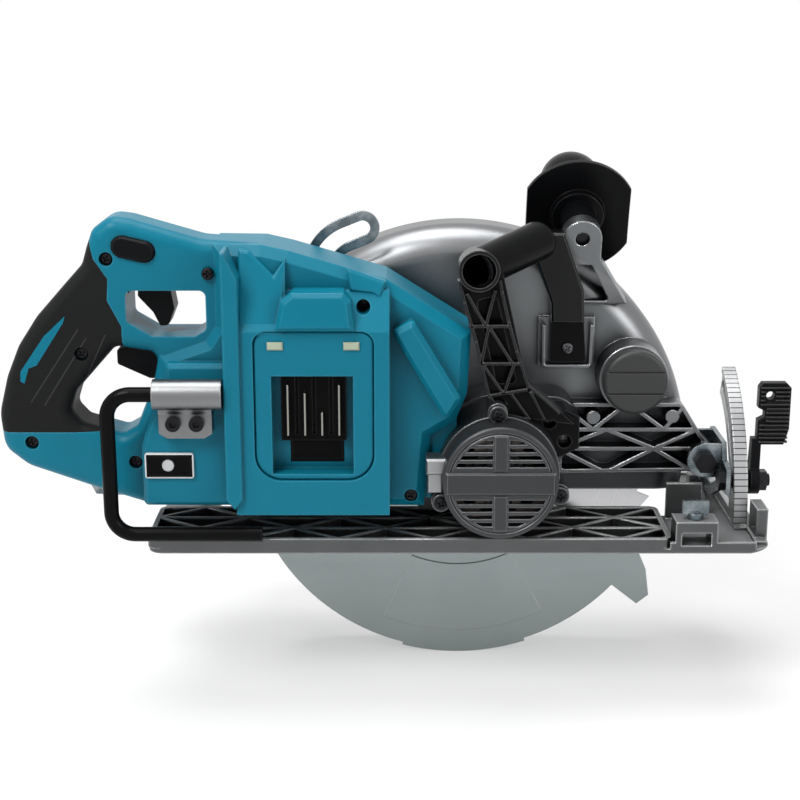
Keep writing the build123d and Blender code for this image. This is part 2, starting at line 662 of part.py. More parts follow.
def handle_shape():
    """The whole side outline at the handle's thickness, with its long edges rounded for the hand."""
    shape = slab(handle_face(), MID + HANDLE_HALF, MID - HANDLE_HALF)
    rims = edges_at(shape, MID + HANDLE_HALF) + edges_at(shape, MID - HANDLE_HALF)
    return fillet(rims, HANDLE_ROUND)


def grip_layer():
    """The soft layer of the grip: the handle's skin within the grip's outline."""
    core = slab(offset(handle_face(), -GRIP_T), MID + HANDLE_HALF - GRIP_T, MID - HANDLE_HALF + GRIP_T)
    return (handle_shape() & slab(outline(GRIP_REGION), 0, PORT_NEAR)) - core


def half_space(far, near):
    return block(-400, 400, near, far, -400, 400)


def stadium(x, z, width, height, tilt):
    return Pos(x, z) * Rot(0, 0, tilt) * SlotOverall(width, height)


def port_outline(grow):
    x0, x1, z0, z1 = PORT
    face = Pos((x0 + x1) / 2, (z0 + z1) / 2) * Rectangle(x1 - x0 + 2 * grow, z1 - z0 + 2 * grow)
    face = fillet(face.vertices().sort_by(Axis.Y)[:2], 16)
    return fillet(face.vertices().sort_by(Axis.Y)[-2:], 8)


def hollow(far, near):
    """The room inside the body, less a post round each of its screws."""
    room = offset(outline(BODY_OUTLINE), -SHELL - 1)
    for x, z in BODY_SCREWS:
        room -= Pos(x, z) * Circle(SCREW_HEAD_R + SHELL)
    return slab(room, far, near)


def pocketed(half):
    """Openings that run through both halves: trigger, lock-off bar, switch, lid, motor, gears and screws."""
    x0, x1, z0, z1 = TRIGGER_ROOM
    half -= slab(outline(TRIGGER_HOLE, 4), 0, COVER_NEAR)
    half -= block(x0, x1, MID - TRIGGER_HALF - GAP, MID + TRIGGER_HALF + GAP, z0, z1)
    half -= slab(stadium(LOCK_X, LOCK_Z, LOCK_W + 2 * GAP, LOCK_H + 2 * GAP, LOCK_TILT), 0, COVER_NEAR)
    half -= block(*SWITCH)
    half -= slab(outline(LID_ROOM, 3), MID + LID_HALF + GAP, MID - LID_HALF - GAP)
    half -= rod(MOTOR_X, MOTOR_Z, MOTOR_R, 0, COVER_NEAR)
    half -= slab(gear_profile(), 0, GEARBOX_NEAR)
    for x, z in COVER_SCREWS:
        half -= rod(x, z, 6, 0, COVER_NEAR)
    return screw_bores(half)


def screw_bores(half):
    for x, z, seat in HOUSING_SCREWS:
        half -= rod(x, z, SCREW_R, SCREW_FAR, seat - 1)
        half -= rod(x, z, SCREW_HEAD_R + GAP, seat, COVER_NEAR)
    return half


def housing_near():
    half = (handle_shape() - grip_layer()) & half_space(MID, COVER_NEAR)
    body = slab(outline(BODY_OUTLINE), MID, BODY_NEAR)
    half += chamfer(edges_at(body, BODY_NEAR), BODY_CHAMFER)
    step = slab(outline(LOWER_BLOCK, 3), MID, BLOCK_NEAR)
    half += chamfer(edges_at(step, BLOCK_NEAR), 2.5)
    half += bar(outline(PORT_SECTION), PORT_LEFT, PORT_RIGHT)
    pillar = slab(outline(PILLAR), MID, PILLAR_NEAR)
    half += chamfer(edges_at(pillar, PILLAR_NEAR), 0.9)
    ridge = slab(outline(RIDGE, 3), MID, RIDGE_NEAR)
    half += chamfer(edges_at(ridge, RIDGE_NEAR), 3)
    half += slab(outline(BRIDGE), MID, BRIDGE_NEAR)
    half -= hollow(MID, HOLLOW_NEAR)
    half = pocketed(half)
    half -= slab(port_outline(0), PORT_NEAR + PORT_DEPTH, COVER_NEAR)
    half -= block(PANEL[0], PANEL[1], BLOCK_NEAR - 1, BLOCK_NEAR + PANEL_SINK, PANEL[2], PANEL[3])
    for x, z in BRACKET_BOLTS:
        half -= rod(x, z, SCREW_R, BLOCK_NEAR + 14, BLOCK_NEAR - 1)
    half += rod(*TRIGGER_PIVOT, TRIGGER_PIN_R, MID, MID - TRIGGER_HALF - 1)
    return half + rod(*LID_PIVOT, LID_PIN_R, MID, MID - LID_HALF - 1)


def housing_far():
    half = (handle_shape() - grip_layer()) & half_space(0, MID)
    body = slab(outline(BODY_OUTLINE), BODY_FAR, MID)
    half += chamfer(edges_at(body, BODY_FAR), BODY_CHAMFER)
    half += slab(outline(BRIDGE), BODY_FAR - 4, MID)
    half -= hollow(BODY_FAR - SHELL, MID)
    half = pocketed(half)
    half += rod(*TRIGGER_PIVOT, TRIGGER_PIN_R, MID + TRIGGER_HALF + 1, MID)
    return half + rod(*LID_PIVOT, LID_PIN_R, MID + LID_HALF + 1, MID)


def grip_near():
    return screw_bores(grip_layer() & half_space(MID, COVER_NEAR))


def grip_far():
    return screw_bores(grip_layer() & half_space(0, MID))


def housing_screws():
    solids = []
    for x, z, seat in HOUSING_SCREWS:
        screw = rod(x, z, SCREW_HEAD_R, seat, seat - SCREW_HEAD_T) + rod(x, z, SCREW_R, SCREW_FAR, seat)
        screw -= hexagon(x, z, 2, seat - SCREW_HEAD_T + 1.5, seat - SCREW_HEAD_T - 1)
        solids += screw.solids()
    return Compound(children=solids)


def trigger():
    shape = slab(outline(TRIGGER_OUTLINE, 2), MID + TRIGGER_HALF, MID - TRIGGER_HALF)
    return shape - rod(*TRIGGER_PIVOT, TRIGGER_PIN_R + RUN, 0, COVER_NEAR)


def lock_off_button():
    reach = HANDLE_HALF + LOCK_PROUD
    shape = slab(stadium(LOCK_X, LOCK_Z, LOCK_W, LOCK_H, LOCK_TILT), MID + reach, MID - reach)
    return chamfer(edges_at(shape, MID - reach) + edges_at(shape, MID + reach), 1)


def trigger_switch():
    return block(*SWITCH)


def motor_controller():
    x0, x1, z0, z1 = CONTROLLER
    case = block(x0, x1, HOLLOW_NEAR, HOLLOW_NEAR + CONTROLLER_T, z0, z1)
    return case - block(x0 + 2, x1 - 2, HOLLOW_NEAR + 2, HOLLOW_NEAR + CONTROLLER_T + 1, z0 + 2, z1 - 2)


def slot_lid():
    shape = slab(outline(LID_OUTLINE, 2), MID + LID_HALF, MID - LID_HALF)
    return shape - rod(*LID_PIVOT, LID_PIN_R + RUN, 0, COVER_NEAR)


def battery_mount():
    """The floating insert of the port: a window with a lip down each side that holds the battery's rails."""
    x0, x1, z0, z1 = WINDOW
    near = PORT_NEAR + PORT_RECESS
    floor = near + WINDOW_DEPTH
    insert = slab(port_outline(-GAP), PORT_NEAR + PORT_DEPTH, near)
    insert = chamfer(edges_at(insert, near), 1)
    insert -= block(x0, x1, near - 1, floor, z0, z1)
    for edge in (x0, x1):
        insert -= block(edge - RAIL_LIP, edge + RAIL_LIP, near + RAIL_LIP, floor - 2, z0, z1)
    return insert


def port_bumpers():
    near = PORT_NEAR + PORT_RECESS
    solids = []
    for x in (-117.0, -72.0):
        pad = block(x, x + 9.4, near - 1.6, near, 130, 134.8)
        solids += chamfer(edges_at(pad, near - 1.6), 0.7).solids()
    return Compound(children=solids)


TERMINAL_FLOOR = PORT_NEAR + PORT_RECESS + WINDOW_DEPTH
TERMINAL_T = 4.0


def terminal_block():
    shape = block(-110, -71, TERMINAL_FLOOR - TERMINAL_T, TERMINAL_FLOOR, 72, 112)
    for left, right in zip(BLADE_XS, BLADE_XS[1:]):
        middle = (left + right) / 2
        shape -= block(middle - 1, middle + 1, TERMINAL_FLOOR - TERMINAL_T - 1, TERMINAL_FLOOR - 2, 76, 113)
    return shape


def terminal_blades():
    solids = []
    foot = TERMINAL_FLOOR - TERMINAL_T
    for x, top in zip(BLADE_XS, BLADE_TOPS):
        solids += block(x - 0.5, x + 0.5, foot - 7, foot, 77, top).solids()
    return Compound(children=solids)


def panel_frame():
    x0, x1, z0, z1 = PANEL
    w = PANEL_FRAME_W
    shape = block(x0, x1, BLOCK_NEAR - PANEL_PROUD, BLOCK_NEAR + PANEL_SINK, z0, z1)
    shape = fillet(shape.edges().filter_by(Axis.Y), 1.5) & block(x0, x1, COVER_NEAR, 0, z0, z1)
    return shape - block(x0 + w, x1 - w, COVER_NEAR, 0, z0 + w, z1 - w)


def mode_panel():
    x0, x1, z0, z1 = PANEL
    w = PANEL_FRAME_W
    back = BLOCK_NEAR + PANEL_SINK
    shape = block(x0 + w, x1 - w, BLOCK_NEAR - PANEL_PROUD + 0.5, back, z0 + w, z1 - w)
    shape -= rod(BUTTON_X, BUTTON_Z, BUTTON_R + 0.3, 0, COVER_NEAR)
    return shape - rod(BUTTON_X, BUTTON_Z, BUTTON_R + 1.5, back + 1, back - 2.2)


def mode_button():
    foot = BLOCK_NEAR + PANEL_SINK - BUTTON_TRAVEL - 0.2
    shape = rod(BUTTON_X, BUTTON_Z, BUTTON_R, foot, foot - 3.2)
    shape = fillet(edges_at(shape, foot - 3.2), 0.5)
    return shape + rod(BUTTON_X, BUTTON_Z, BUTTON_R + 1, foot, foot - 0.8)


# Hook

HOOK_Y = -113.0
HOOK_Z = 103.0
HOOK_R = 4.5
HOOK_BEND = 14.0
HOOK_LEFT = -213.0
HOOK_LOW = 15.5
HOOK_TIP = -122.0
BRACKET_R = 9.3
BRACKET_ENDS = (-185.0, -144.0)
BRACKET_BOLTS = [(-174, 84.6), (-160, 84.6)]


def hook_bracket():
    barrel = bar(Pos(HOOK_Y, HOOK_Z) * Circle(BRACKET_R), *BRACKET_ENDS)
    foot = slab(outline([(-183, 95), (-183, 78), (-178, 75), (-156, 75), (-151, 78), (-151, 95)]), BLOCK_NEAR, HOOK_Y + 3)
    web = bar(outline([(BLOCK_NEAR, 90), (HOOK_Y + 3, 90), (HOOK_Y - 2, HOOK_Z), (BLOCK_NEAR, HOOK_Z + 5)]), -183, -151)
    shape = barrel + foot + web
    shape -= bar(Pos(HOOK_Y, HOOK_Z) * Circle(HOOK_R + RUN), BRACKET_ENDS[0] - 1, BRACKET_ENDS[1] - 4)
    for x, z in BRACKET_BOLTS:
        shape -= rod(x, z, SCREW_R, BLOCK_NEAR + 1, HOOK_Y)
    return shape


def bracket_bolts():
    solids = []
    seat = HOOK_Y + 3
    for x, z in BRACKET_BOLTS:
        bolt = rod(x, z, 4.5, seat, seat - 4) + rod(x, z, SCREW_R, BLOCK_NEAR + 13, seat)
        bolt -= hexagon(x, z, 2.4, seat - 1.5, seat - 5)
        solids += bolt.solids()
    return Compound(children=solids)


def hook():
    path = FilletPolyline(
        (BRACKET_ENDS[1] - 5, HOOK_Z), (HOOK_LEFT, HOOK_Z), (HOOK_LEFT, HOOK_LOW), (HOOK_TIP, HOOK_LOW),
        radius=HOOK_BEND,
    )
    path = facing_near(HOOK_Y) * path
    return sweep(Plane(path @ 0, z_dir=path % 0) * Circle(HOOK_R), path)


# Depth guide and its lever


def guide_point(angle):
    return polar(GUIDE_R, 180 - angle, PIVOT_X, PIVOT_Z)


GUIDE_FOOT = -4.5
GUIDE_TOP = DEPTH_RANGE - CLAMP_DROP + 1.0
FOOT_REAR = -171.0
FOOT_FRONT = -165.0
FOOT_Z = (11.0, 24.0)


def depth_guide():
    """A slotted strap on an arc about the depth pivot, bent forward at its top, on a foot with a hinge knuckle."""
    pivot = (PIVOT_X, PIVOT_Z)
    arc = CenterArc(pivot, GUIDE_R, 180 - GUIDE_FOOT, GUIDE_FOOT - GUIDE_TOP)
    turn = 90 - GUIDE_TOP - TOP_LEAN
    top = guide_point(GUIDE_TOP)
    centre = polar(TOP_BEND_R, -GUIDE_TOP, *top)
    bend = CenterArc(centre, TOP_BEND_R, 180 - GUIDE_TOP, -turn)
    end = bend @ 1
    lean = Line(end, polar(TOP_RUN, TOP_LEAN, end.X, end.Y))
    strap = SlotArc(Wire([arc, bend, lean]), GUIDE_W)
    slot_arc = CenterArc(pivot, GUIDE_R, 180 + CLAMP_DROP + 0.5, -DEPTH_RANGE - 1)
    shape = slab(strap - SlotArc(slot_arc, GUIDE_SLOT), GUIDE_FAR, GUIDE_FAR - GUIDE_T)
    foot = outline([(FOOT_REAR, FOOT_Z[0]), (-119, FOOT_Z[0]), (-122, FOOT_Z[1]), (FOOT_REAR, FOOT_Z[1])])
    shape += slab(foot, GUIDE_FAR, GUIDE_FAR - GUIDE_T)
    shape += block(FOOT_REAR, FOOT_FRONT, GUIDE_FAR - GUIDE_T, BEVEL_Y + KNUCKLE_R, *FOOT_Z)
    hinge = Pos(BEVEL_Y, BEVEL_Z)
    neck = hinge * (Circle(KNUCKLE_R) + Pos(0, KNUCKLE_R) * Rectangle(2 * KNUCKLE_R, 2 * KNUCKLE_R))
    shape += bar(neck, FOOT_REAR, FOOT_FRONT)
    window = outline([(-166, 13), (-131, 13), (-135, 22), (-166, 22)], 2)
    shape -= slab(window, GUIDE_FAR + 1, GUIDE_FAR - GUIDE_T - 1) - half_space(400, GUIDE_FAR) 
    return shape - bar(hinge * Circle(BEVEL_PIN_R + RUN), FOOT_REAR - 1, FOOT_FRONT + 1)


LEVER_FAR = GUIDE_FAR - GUIDE_T - GAP
LEVER_HUB_R = 10.0
LEVER_TIP = -240.0


def depth_clamp_bolt():
    head = LEVER_FAR - LEVER_T
    bolt = rod(CLAMP_X, CLAMP_Z, CLAMP_R, CASE_NEAR + CASE_WALL, head)
    return bolt + hexagon(CLAMP_X, CLAMP_Z, 6.5, head, head - 3)


def depth_lever():
    strip = [
        (CLAMP_X + 4, CLAMP_Z - LEVER_HUB_R), (CLAMP_X - 4, CLAMP_Z + LEVER_HUB_R), (-150, 24.5), (-205, 21.5),
        (-214, 25), (LEVER_TIP + 4, 26), (LEVER_TIP, 22), (LEVER_TIP + 3, 16), (-216, 15), (-206, 12.5), (-140, 13),
    ]
    profile = outline(strip) + Pos(CLAMP_X, CLAMP_Z) * Circle(LEVER_HUB_R)
    profile -= outline([(-216, 22.5), (-234, 23.5), (-235, 19), (-217, 18)], 1.5)
    profile -= Pos(CLAMP_X, CLAMP_Z) * Circle(CLAMP_R + RUN)
    return slab(profile, LEVER_FAR, LEVER_FAR - LEVER_T)


# Front bracket, bevel guide and bevel lever

BRACKET_FACE = [
    (26, 6), (26, 12), (10, 40), (-9, 54), (-47, 54), (-52, 44), (-66, 41), (-66, 25), (-50, 24), (-20, 10), (18, 4.5),
]
BRACKET_HOLE = [(4, 16), (-4, 38), (-40, 38), (-40, 27), (-20, 18)]


def front_bracket():
    """A bent plate across the front: two ears hold the depth pivot, its far end the bevel hinge."""
    front = BRACKET_X + BRACKET_T
    face = outline(BRACKET_FACE) - outline(BRACKET_HOLE, 4)
    far_side = Pos(BEVEL_Y, BEVEL_Z) * (Circle(KNUCKLE_R + 12) - Circle(KNUCKLE_R))
    low_end = far_side & (Pos(BEVEL_Y, BEVEL_Z - 15) * Rectangle(40, 30))
    shape = bar(face - low_end - Pos(BEVEL_Y + 20 + KNUCKLE_R, 10) * Rectangle(40, 40), BRACKET_X, front)
    shape += bar(Pos(BEVEL_Y, BEVEL_Z) * Circle(KNUCKLE_R), BRACKET_X - 0.6, front + 1)
    ear = Pos(PIVOT_X, PIVOT_Z) * Circle(EAR_R)
    ear += Pos((PIVOT_X + front) / 2, PIVOT_Z) * Rectangle(front - PIVOT_X, 2 * EAR_R)
    near_ear = PIVOT_LUG_NEAR - EAR_GAP
    far_ear = PIVOT_LUG_FAR + EAR_GAP + EAR_T
    shape += slab(ear, near_ear, near_ear - EAR_T) + slab(ear, far_ear, far_ear - EAR_T)
    shape -= rod(PIVOT_X, PIVOT_Z, PIVOT_R, 0, near_ear - EAR_T - 1)
    shape -= bar(Pos(BEVEL_BOLT_Y, BEVEL_BOLT_Z) * Circle(BEVEL_BOLT_R), BRACKET_X - 1, front + 1)
    return shape - bar(Pos(BEVEL_Y, BEVEL_Z) * Circle(BEVEL_PIN_R + RUN), BRACKET_X - 2, front + 2)


def depth_pivot_bolt():
    near = PIVOT_LUG_NEAR - EAR_GAP - EAR_T
    far = PIVOT_LUG_FAR + EAR_GAP + EAR_T
    bolt = rod(PIVOT_X, PIVOT_Z, PIVOT_R, far, near - 2) + rod(PIVOT_X, PIVOT_Z, PIVOT_R + 2.5, far + PIVOT_HEAD_T, far)
    return bolt + hexagon(PIVOT_X, PIVOT_Z, 7.2, near, near - 6)


def bevel_arc(inner, outer, start, end):
    """A band of an arc about the bevel hinge; angles rise from the motor side."""
    band = sector(outer, 180 - end, 180 - start) - Circle(inner)
    return Pos(BEVEL_Y, BEVEL_Z) * band


def bevel_guide():
    back = GUIDE_PLATE_X + 1
    web = bevel_arc(BEVEL_SLOT_R - 10, BEVEL_RIM_R, 0, BEVEL_END)
    web += outline([(BEVEL_Y + 8, SOLE_T), (BEVEL_Y - BEVEL_RIM_R, SOLE_T), (BEVEL_Y - BEVEL_RIM_R, 12), (BEVEL_Y + 8, 12)])
    web += Pos(BEVEL_Y, BEVEL_Z + 2) * Circle(7)
    slot_arc = CenterArc((BEVEL_Y, BEVEL_Z), BEVEL_SLOT_R, 180 - BEVEL_REST + 1, -BEVEL_RANGE - 2)
    web -= SlotArc(slot_arc, 2 * BEVEL_BOLT_R + 1)
    shape = bar(web, back, back + GUIDE_PLATE_T)
    rim = bevel_arc(BEVEL_RIM_R - 4, BEVEL_RIM_R, 0, BEVEL_END)
    shape += bar(rim, GUIDE_PLATE_X, GUIDE_PLATE_X + GUIDE_RIM_W)
    foot = outline([(BEVEL_Y + 8, SOLE_T), (BEVEL_Y - BEVEL_RIM_R, SOLE_T), (BEVEL_Y - BEVEL_RIM_R, 6), (BEVEL_Y + 8, 6)])
    shape += bar(foot, GUIDE_PLATE_X + 0.6, GUIDE_PLATE_X + GUIDE_RIM_W)
    return shape - bar(Pos(BEVEL_Y, BEVEL_Z) * Circle(BEVEL_PIN_R), back - 5, back + 10)


BEVEL_END = 67.5
LEVER_BACK = GUIDE_PLATE_X + GUIDE_RIM_W + 2.5
LEVER_FRONT = LEVER_BACK + 6


def on_bevel_bolt(profile, back, front):
    return bar(Pos(BEVEL_BOLT_Y, BEVEL_BOLT_Z) * profile, back, front)


def bevel_clamp_bolt():
    plate = BRACKET_X
    bolt = on_bevel_bolt(Circle(BEVEL_BOLT_R), plate, LEVER_FRONT + 7)
    bolt += on_bevel_bolt(RegularPolygon(7, 6), plate - 4, plate)
    bolt += on_bevel_bolt(Circle(6.4), GUIDE_PLATE_X + 1 + GUIDE_PLATE_T + GAP, LEVER_BACK - GAP)
    return bolt + on_bevel_bolt(RegularPolygon(7, 6), LEVER_FRONT + GAP, LEVER_FRONT + 5)


PADDLE = (186.0, 206.0, 57.0, 97.0)
PADDLE_T = 6.0
PADDLE_NEAR = BEVEL_BOLT_Y - 4.0


def bevel_lever():
    """A clamp lever: a hub on the bolt, a stem and a ribbed thumb paddle that faces the motor side."""
    hub = on_bevel_bolt(Circle(9), LEVER_BACK, LEVER_FRONT)
    stem = bar(outline([(PADDLE_NEAR, BEVEL_BOLT_Z), (PADDLE_NEAR, PADDLE[2] + 4), (PADDLE_NEAR + PADDLE_T, PADDLE[2] + 4),
        (BEVEL_BOLT_Y + 6, BEVEL_BOLT_Z)]), LEVER_BACK, LEVER_FRONT)
    x0, x1, z0, z1 = PADDLE
    face = outline([(x0, z0), (x1 - 3, z0), (x1, z0 + 10), (x1, z1 - 3), (x1 - 3, z1), (x0 + 2, z1), (x0, z1 - 3),
        (x0, 81), (x0 + 4, 79), (x0 + 4, 75), (x0, 73)])
    paddle = slab(face, PADDLE_NEAR + PADDLE_T, PADDLE_NEAR)
    for step in range(5):
        z = z0 + 6 + 5 * step
        paddle += block(x0 + 5, x1 - 2, PADDLE_NEAR - 0.8, PADDLE_NEAR, z, z + 1.6)
    paddle -= rod(x0 + 7, z1 - 8, 2.6, PADDLE_NEAR + PADDLE_T + 1, PADDLE_NEAR - 2)
    lever = hub + stem + paddle
    return lever - on_bevel_bolt(Circle(BEVEL_BOLT_R + RUN), LEVER_BACK - 1, LEVER_FRONT + 1)


# Base

RIB_REAR = BASE_REAR
RIB_FRONT = 128.0
RIB_FAR = SLOT_NEAR
REAR_EARS = [(FOOT_REAR - 6, FOOT_REAR - GAP), (FOOT_FRONT + GAP, FOOT_FRONT + 5.5)]
FRONT_EAR = (BRACKET_X - 7.5, BRACKET_X - 1.0)
FENCE_X = (130.0, 156.0)
FENCE_Y = (BASE_NEAR, -88.0)
FENCE_TOP = 20.0
FENCE_SLOT_X = (134.0, 152.0)
FENCE_SLOT_Z = (5.0, 13.0)
FENCE_SCREW = (143.0, -97.0)
FENCE_SCREW_R = 3.0
RIB_ROWS = 3
RIB_CELLS = 11


def base_ribs():
    """The stiffening ribs: a rim, two long walls and a zigzag of struts in each row."""
    frame = Pos((RIB_REAR + RIB_FRONT) / 2, (BASE_NEAR + RIB_FAR) / 2)
    size = (RIB_FRONT - RIB_REAR, RIB_FAR - BASE_NEAR)
    outer = frame * RectangleRounded(*size, 6)
    ribs = outer - frame * RectangleRounded(size[0] - 2 * RIM_T, size[1] - 2 * RIM_T, 4)
    row = (size[1] - RIM_T) / RIB_ROWS
    cell = (size[0] - RIM_T) / RIB_CELLS
    for line in range(1, RIB_ROWS):
        y = BASE_NEAR + RIM_T / 2 + line * row
        ribs += strut((RIB_REAR, y), (RIB_FRONT, y), RIB_T) & outer
    for line in range(RIB_ROWS):
        low = BASE_NEAR + RIM_T / 2 + line * row
        for index in range(RIB_CELLS):
            left = RIB_REAR + RIM_T / 2 + index * cell
            ends = (low, low + row) if (index + line) % 2 else (low + row, low)
            ribs += strut((left, ends[0]), (left + cell, ends[1]), RIB_T) & outer
    return extrude(Plane((0, 0, SOLE_T)) * ribs, amount=RIM_H - SOLE_T)


def hinge_ear(ends):
    profile = Pos(BEVEL_Y, BEVEL_Z) * (Circle(4.6) + Pos(0, -3.5) * Rectangle(9.2, 7))
    return bar(profile, *ends)


def base_plate():
    middle = Pos((BASE_REAR + BASE_FRONT) / 2, (BASE_NEAR + BASE_FAR) / 2)
    sheet = middle * RectangleRounded(BASE_FRONT - BASE_REAR, BASE_FAR - BASE_NEAR, 10)
    slot = Pos((SLOT_REAR + SLOT_FRONT) / 2, (SLOT_NEAR + SLOT_FAR) / 2)
    sheet -= slot * RectangleRounded(SLOT_FRONT - SLOT_REAR, SLOT_FAR - SLOT_NEAR, 5)
    base = extrude(sheet, amount=SOLE_T) + base_ribs()
    base += block(BASE_REAR + 10, BASE_FRONT - 12, BASE_FAR - 2.5, BASE_FAR, 0, 5)
    base += block(GUIDE_PLATE_X + GUIDE_RIM_W, BASE_FRONT - 1, BASE_NEAR + 6, BASE_FAR - 6, 0, 5.5)
    base += block(RIB_FRONT - 1, BASE_FRONT - 9, BASE_NEAR, BASE_NEAR + RIM_T, 0, 7)
    base += block(182, BASE_FRONT, -92, -72, 0, 24)
    base += block(133, 156, SLOT_NEAR - 6, SLOT_NEAR - 3, 0, 27)
    base += block(*FENCE_X, *FENCE_Y, 0, FENCE_TOP)
    for ends in REAR_EARS + [FRONT_EAR]:
        base += hinge_ear(ends)
    base -= block(*FENCE_SLOT_X, FENCE_Y[0] - 1, FENCE_Y[1] + 1, *FENCE_SLOT_Z)
    base -= Pos(*FENCE_SCREW, FENCE_TOP) * Cylinder(FENCE_SCREW_R, 2 * (FENCE_TOP - FENCE_SLOT_Z[1]) + 1)
    toe = Plane((0, 0, 0), x_dir=(1, 0, 0), z_dir=(0, -1, 0)) * outline([(BASE_FRONT - 12, 0), (BASE_FRONT, 0), (BASE_FRONT, 3)])
    base -= extrude(toe, amount=200, both=True)
    pins = bar(Pos(BEVEL_Y, BEVEL_Z) * Circle(BEVEL_PIN_R), REAR_EARS[0][0] - 1, FRONT_EAR[1] + 1)
    return base - pins


def bevel_pins():
    rear = bar(Pos(BEVEL_Y, BEVEL_Z) * Circle(BEVEL_PIN_R), REAR_EARS[0][0], REAR_EARS[1][1])
    front = bar(Pos(BEVEL_Y, BEVEL_Z) * Circle(BEVEL_PIN_R), FRONT_EAR[0], GUIDE_PLATE_X + 6)
    return Compound(children=[*rear.solids(), *front.solids()])


def fence_screw():
    x, y = FENCE_SCREW
    shaft = Pos(x, y, (FENCE_SLOT_Z[1] + FENCE_TOP + 4) / 2) * Cylinder(FENCE_SCREW_R, FENCE_TOP + 4 - FENCE_SLOT_Z[1])
    wing = Pos(x, y, FENCE_TOP + 7) * Box(16, 3, 9)
    return shaft + Pos(x, y, FENCE_TOP + 2) * Cylinder(5, 4) + wing


# Front grip and knob

GRIP_BAR_START = Vector(7, -90, 174)
GRIP_BAR_END = Vector(51, -46, 186)
GRIP_BAR_R = 12.2
GRIP_BORE_R = 9.8
ARM_FAR = -76.0
ARM = [(-3, 176), (-1, 157), (14.3, 98), (22.5, 84), (68, 78), (38, 105), (23.5, 168), (20.4, 180)]
ARM_PANEL = [(7, 155), (20, 104), (32, 104), (19, 158)]
FOOT = [(40, 84), (40, 74), (46, 60), (60, 54), (72, 60), (72, 80), (64, 84)]
STRAP = [(45, 172), (56.5, 144), (56.5, 104), (80, 104), (78, 131), (69, 140), (59, 182), (50, 184)]
STRAP_FAR = CASE_NEAR - PAD_H
STRAP_T = 8.0


def front_grip():
    """A hollow bar between an arm on the gear housing and a strap on the blade case, in one moulding."""
    line = GRIP_BAR_END - GRIP_BAR_START
    along = Plane(GRIP_BAR_START, z_dir=line)
    tube_end = fillet((along * Cylinder(GRIP_BAR_R, line.length, align=(Align.CENTER, Align.CENTER, Align.MIN))).edges().filter_by(GeomType.CIRCLE).sort_by(Axis.X)[-1:], 7)
    arm = slab(outline(ARM), ARM_FAR, GRIP_BAR_START.Y)
    arm -= slab(outline(ARM_PANEL, 3), GRIP_BAR_START.Y + 6, GRIP_BAR_START.Y - 1)
    foot = slab(outline(FOOT), GEARBOX_NEAR, ARM_FAR - 4)
    strap = slab(outline(STRAP, 2), STRAP_FAR, STRAP_FAR - STRAP_T)
    link = slab(outline([(44, 172), (57, 172), (58, 182), (46, 184)]), STRAP_FAR - 2, GRIP_BAR_END.Y)
    shape = tube_end + arm + foot + strap + link
    shape -= rod(MOTOR_X, MOTOR_Z, MOTOR_R, 0, COVER_NEAR)
    shape -= along * Cylinder(GRIP_BORE_R, 2 * (line.length - 8))
    for x, z in COVER_SCREWS:
        shape -= rod(x, z, 7, GEARBOX_NEAR - 15, COVER_NEAR)
    for x, z in FOOT_SCREWS:
        shape -= rod(x, z, SCREW_R, 0, ARM_FAR)
        shape -= rod(x, z, SCREW_HEAD_R + GAP, FOOT_SEAT, COVER_NEAR)
    for x, z in STRAP_SCREWS:
        shape -= rod(x, z, SCREW_R, 0, STRAP_FAR - STRAP_T - 1)
    return shape


FOOT_SEAT = -72.0


def front_grip_screws():
    places = [(x, z, FOOT_SEAT, GEARBOX_NEAR + 14) for x, z in FOOT_SCREWS]
    places += [(x, z, STRAP_FAR - STRAP_T, CASE_NEAR + CASE_WALL) for x, z in STRAP_SCREWS]
    solids = []
    for x, z, seat, far in places:
        screw = rod(x, z, SCREW_HEAD_R, seat, seat - SCREW_HEAD_T) + rod(x, z, SCREW_R, far, seat)
        screw -= hexagon(x, z, 2, seat - SCREW_HEAD_T + 1.5, seat - SCREW_HEAD_T - 1)
        solids += screw.solids()
    return Compound(children=solids)


KNOB_R = 21.0
KNOB_NECK_R = 11.5
KNOB_END = 97.0
DISC_R = 38.0
DISC_HALF = 33.0
DISC_AT = 31.0
DISC_T = 3.0
KNOB_BOLT_R = 4.4


def on_knob_axis():
    """A plane square to the knob's axis that faces away from the eye lug."""
    return Plane(EYE, x_dir=(1, 0, 0), z_dir=-eye_plane().z_dir)


def turned_on_axis(points, rounded=0):
    """A solid of revolution about the knob's axis from points of radius and distance along it."""
    face = Plane(EYE, x_dir=(1, 0, 0), z_dir=eye_plane().y_dir) * outline([(r, s) for r, s in points], rounded)
    return revolve(face, Axis(EYE, -eye_plane().z_dir), 360)


def front_knob():
    base = EYE_T / 2
    profile = Spline((KNOB_NECK_R + 2, DISC_AT + DISC_T), (KNOB_R - 3, 55), (KNOB_R, 76), (KNOB_R - 5, 91), (0, KNOB_END))
    lines = profile + Line((0, KNOB_END), (0, base)) + Line((0, base), (KNOB_NECK_R, base))
    lines += Line((KNOB_NECK_R, base), (KNOB_NECK_R, DISC_AT + DISC_T))
    lines += Line((KNOB_NECK_R, DISC_AT + DISC_T), (KNOB_NECK_R + 2, DISC_AT + DISC_T))
    section = Plane(EYE, x_dir=(1, 0, 0), z_dir=eye_plane().y_dir) * make_face(lines)
    knob = revolve(section, Axis(EYE, -eye_plane().z_dir), 360)
    return knob - extrude(on_knob_axis() * Circle(KNOB_BOLT_R), amount=45)


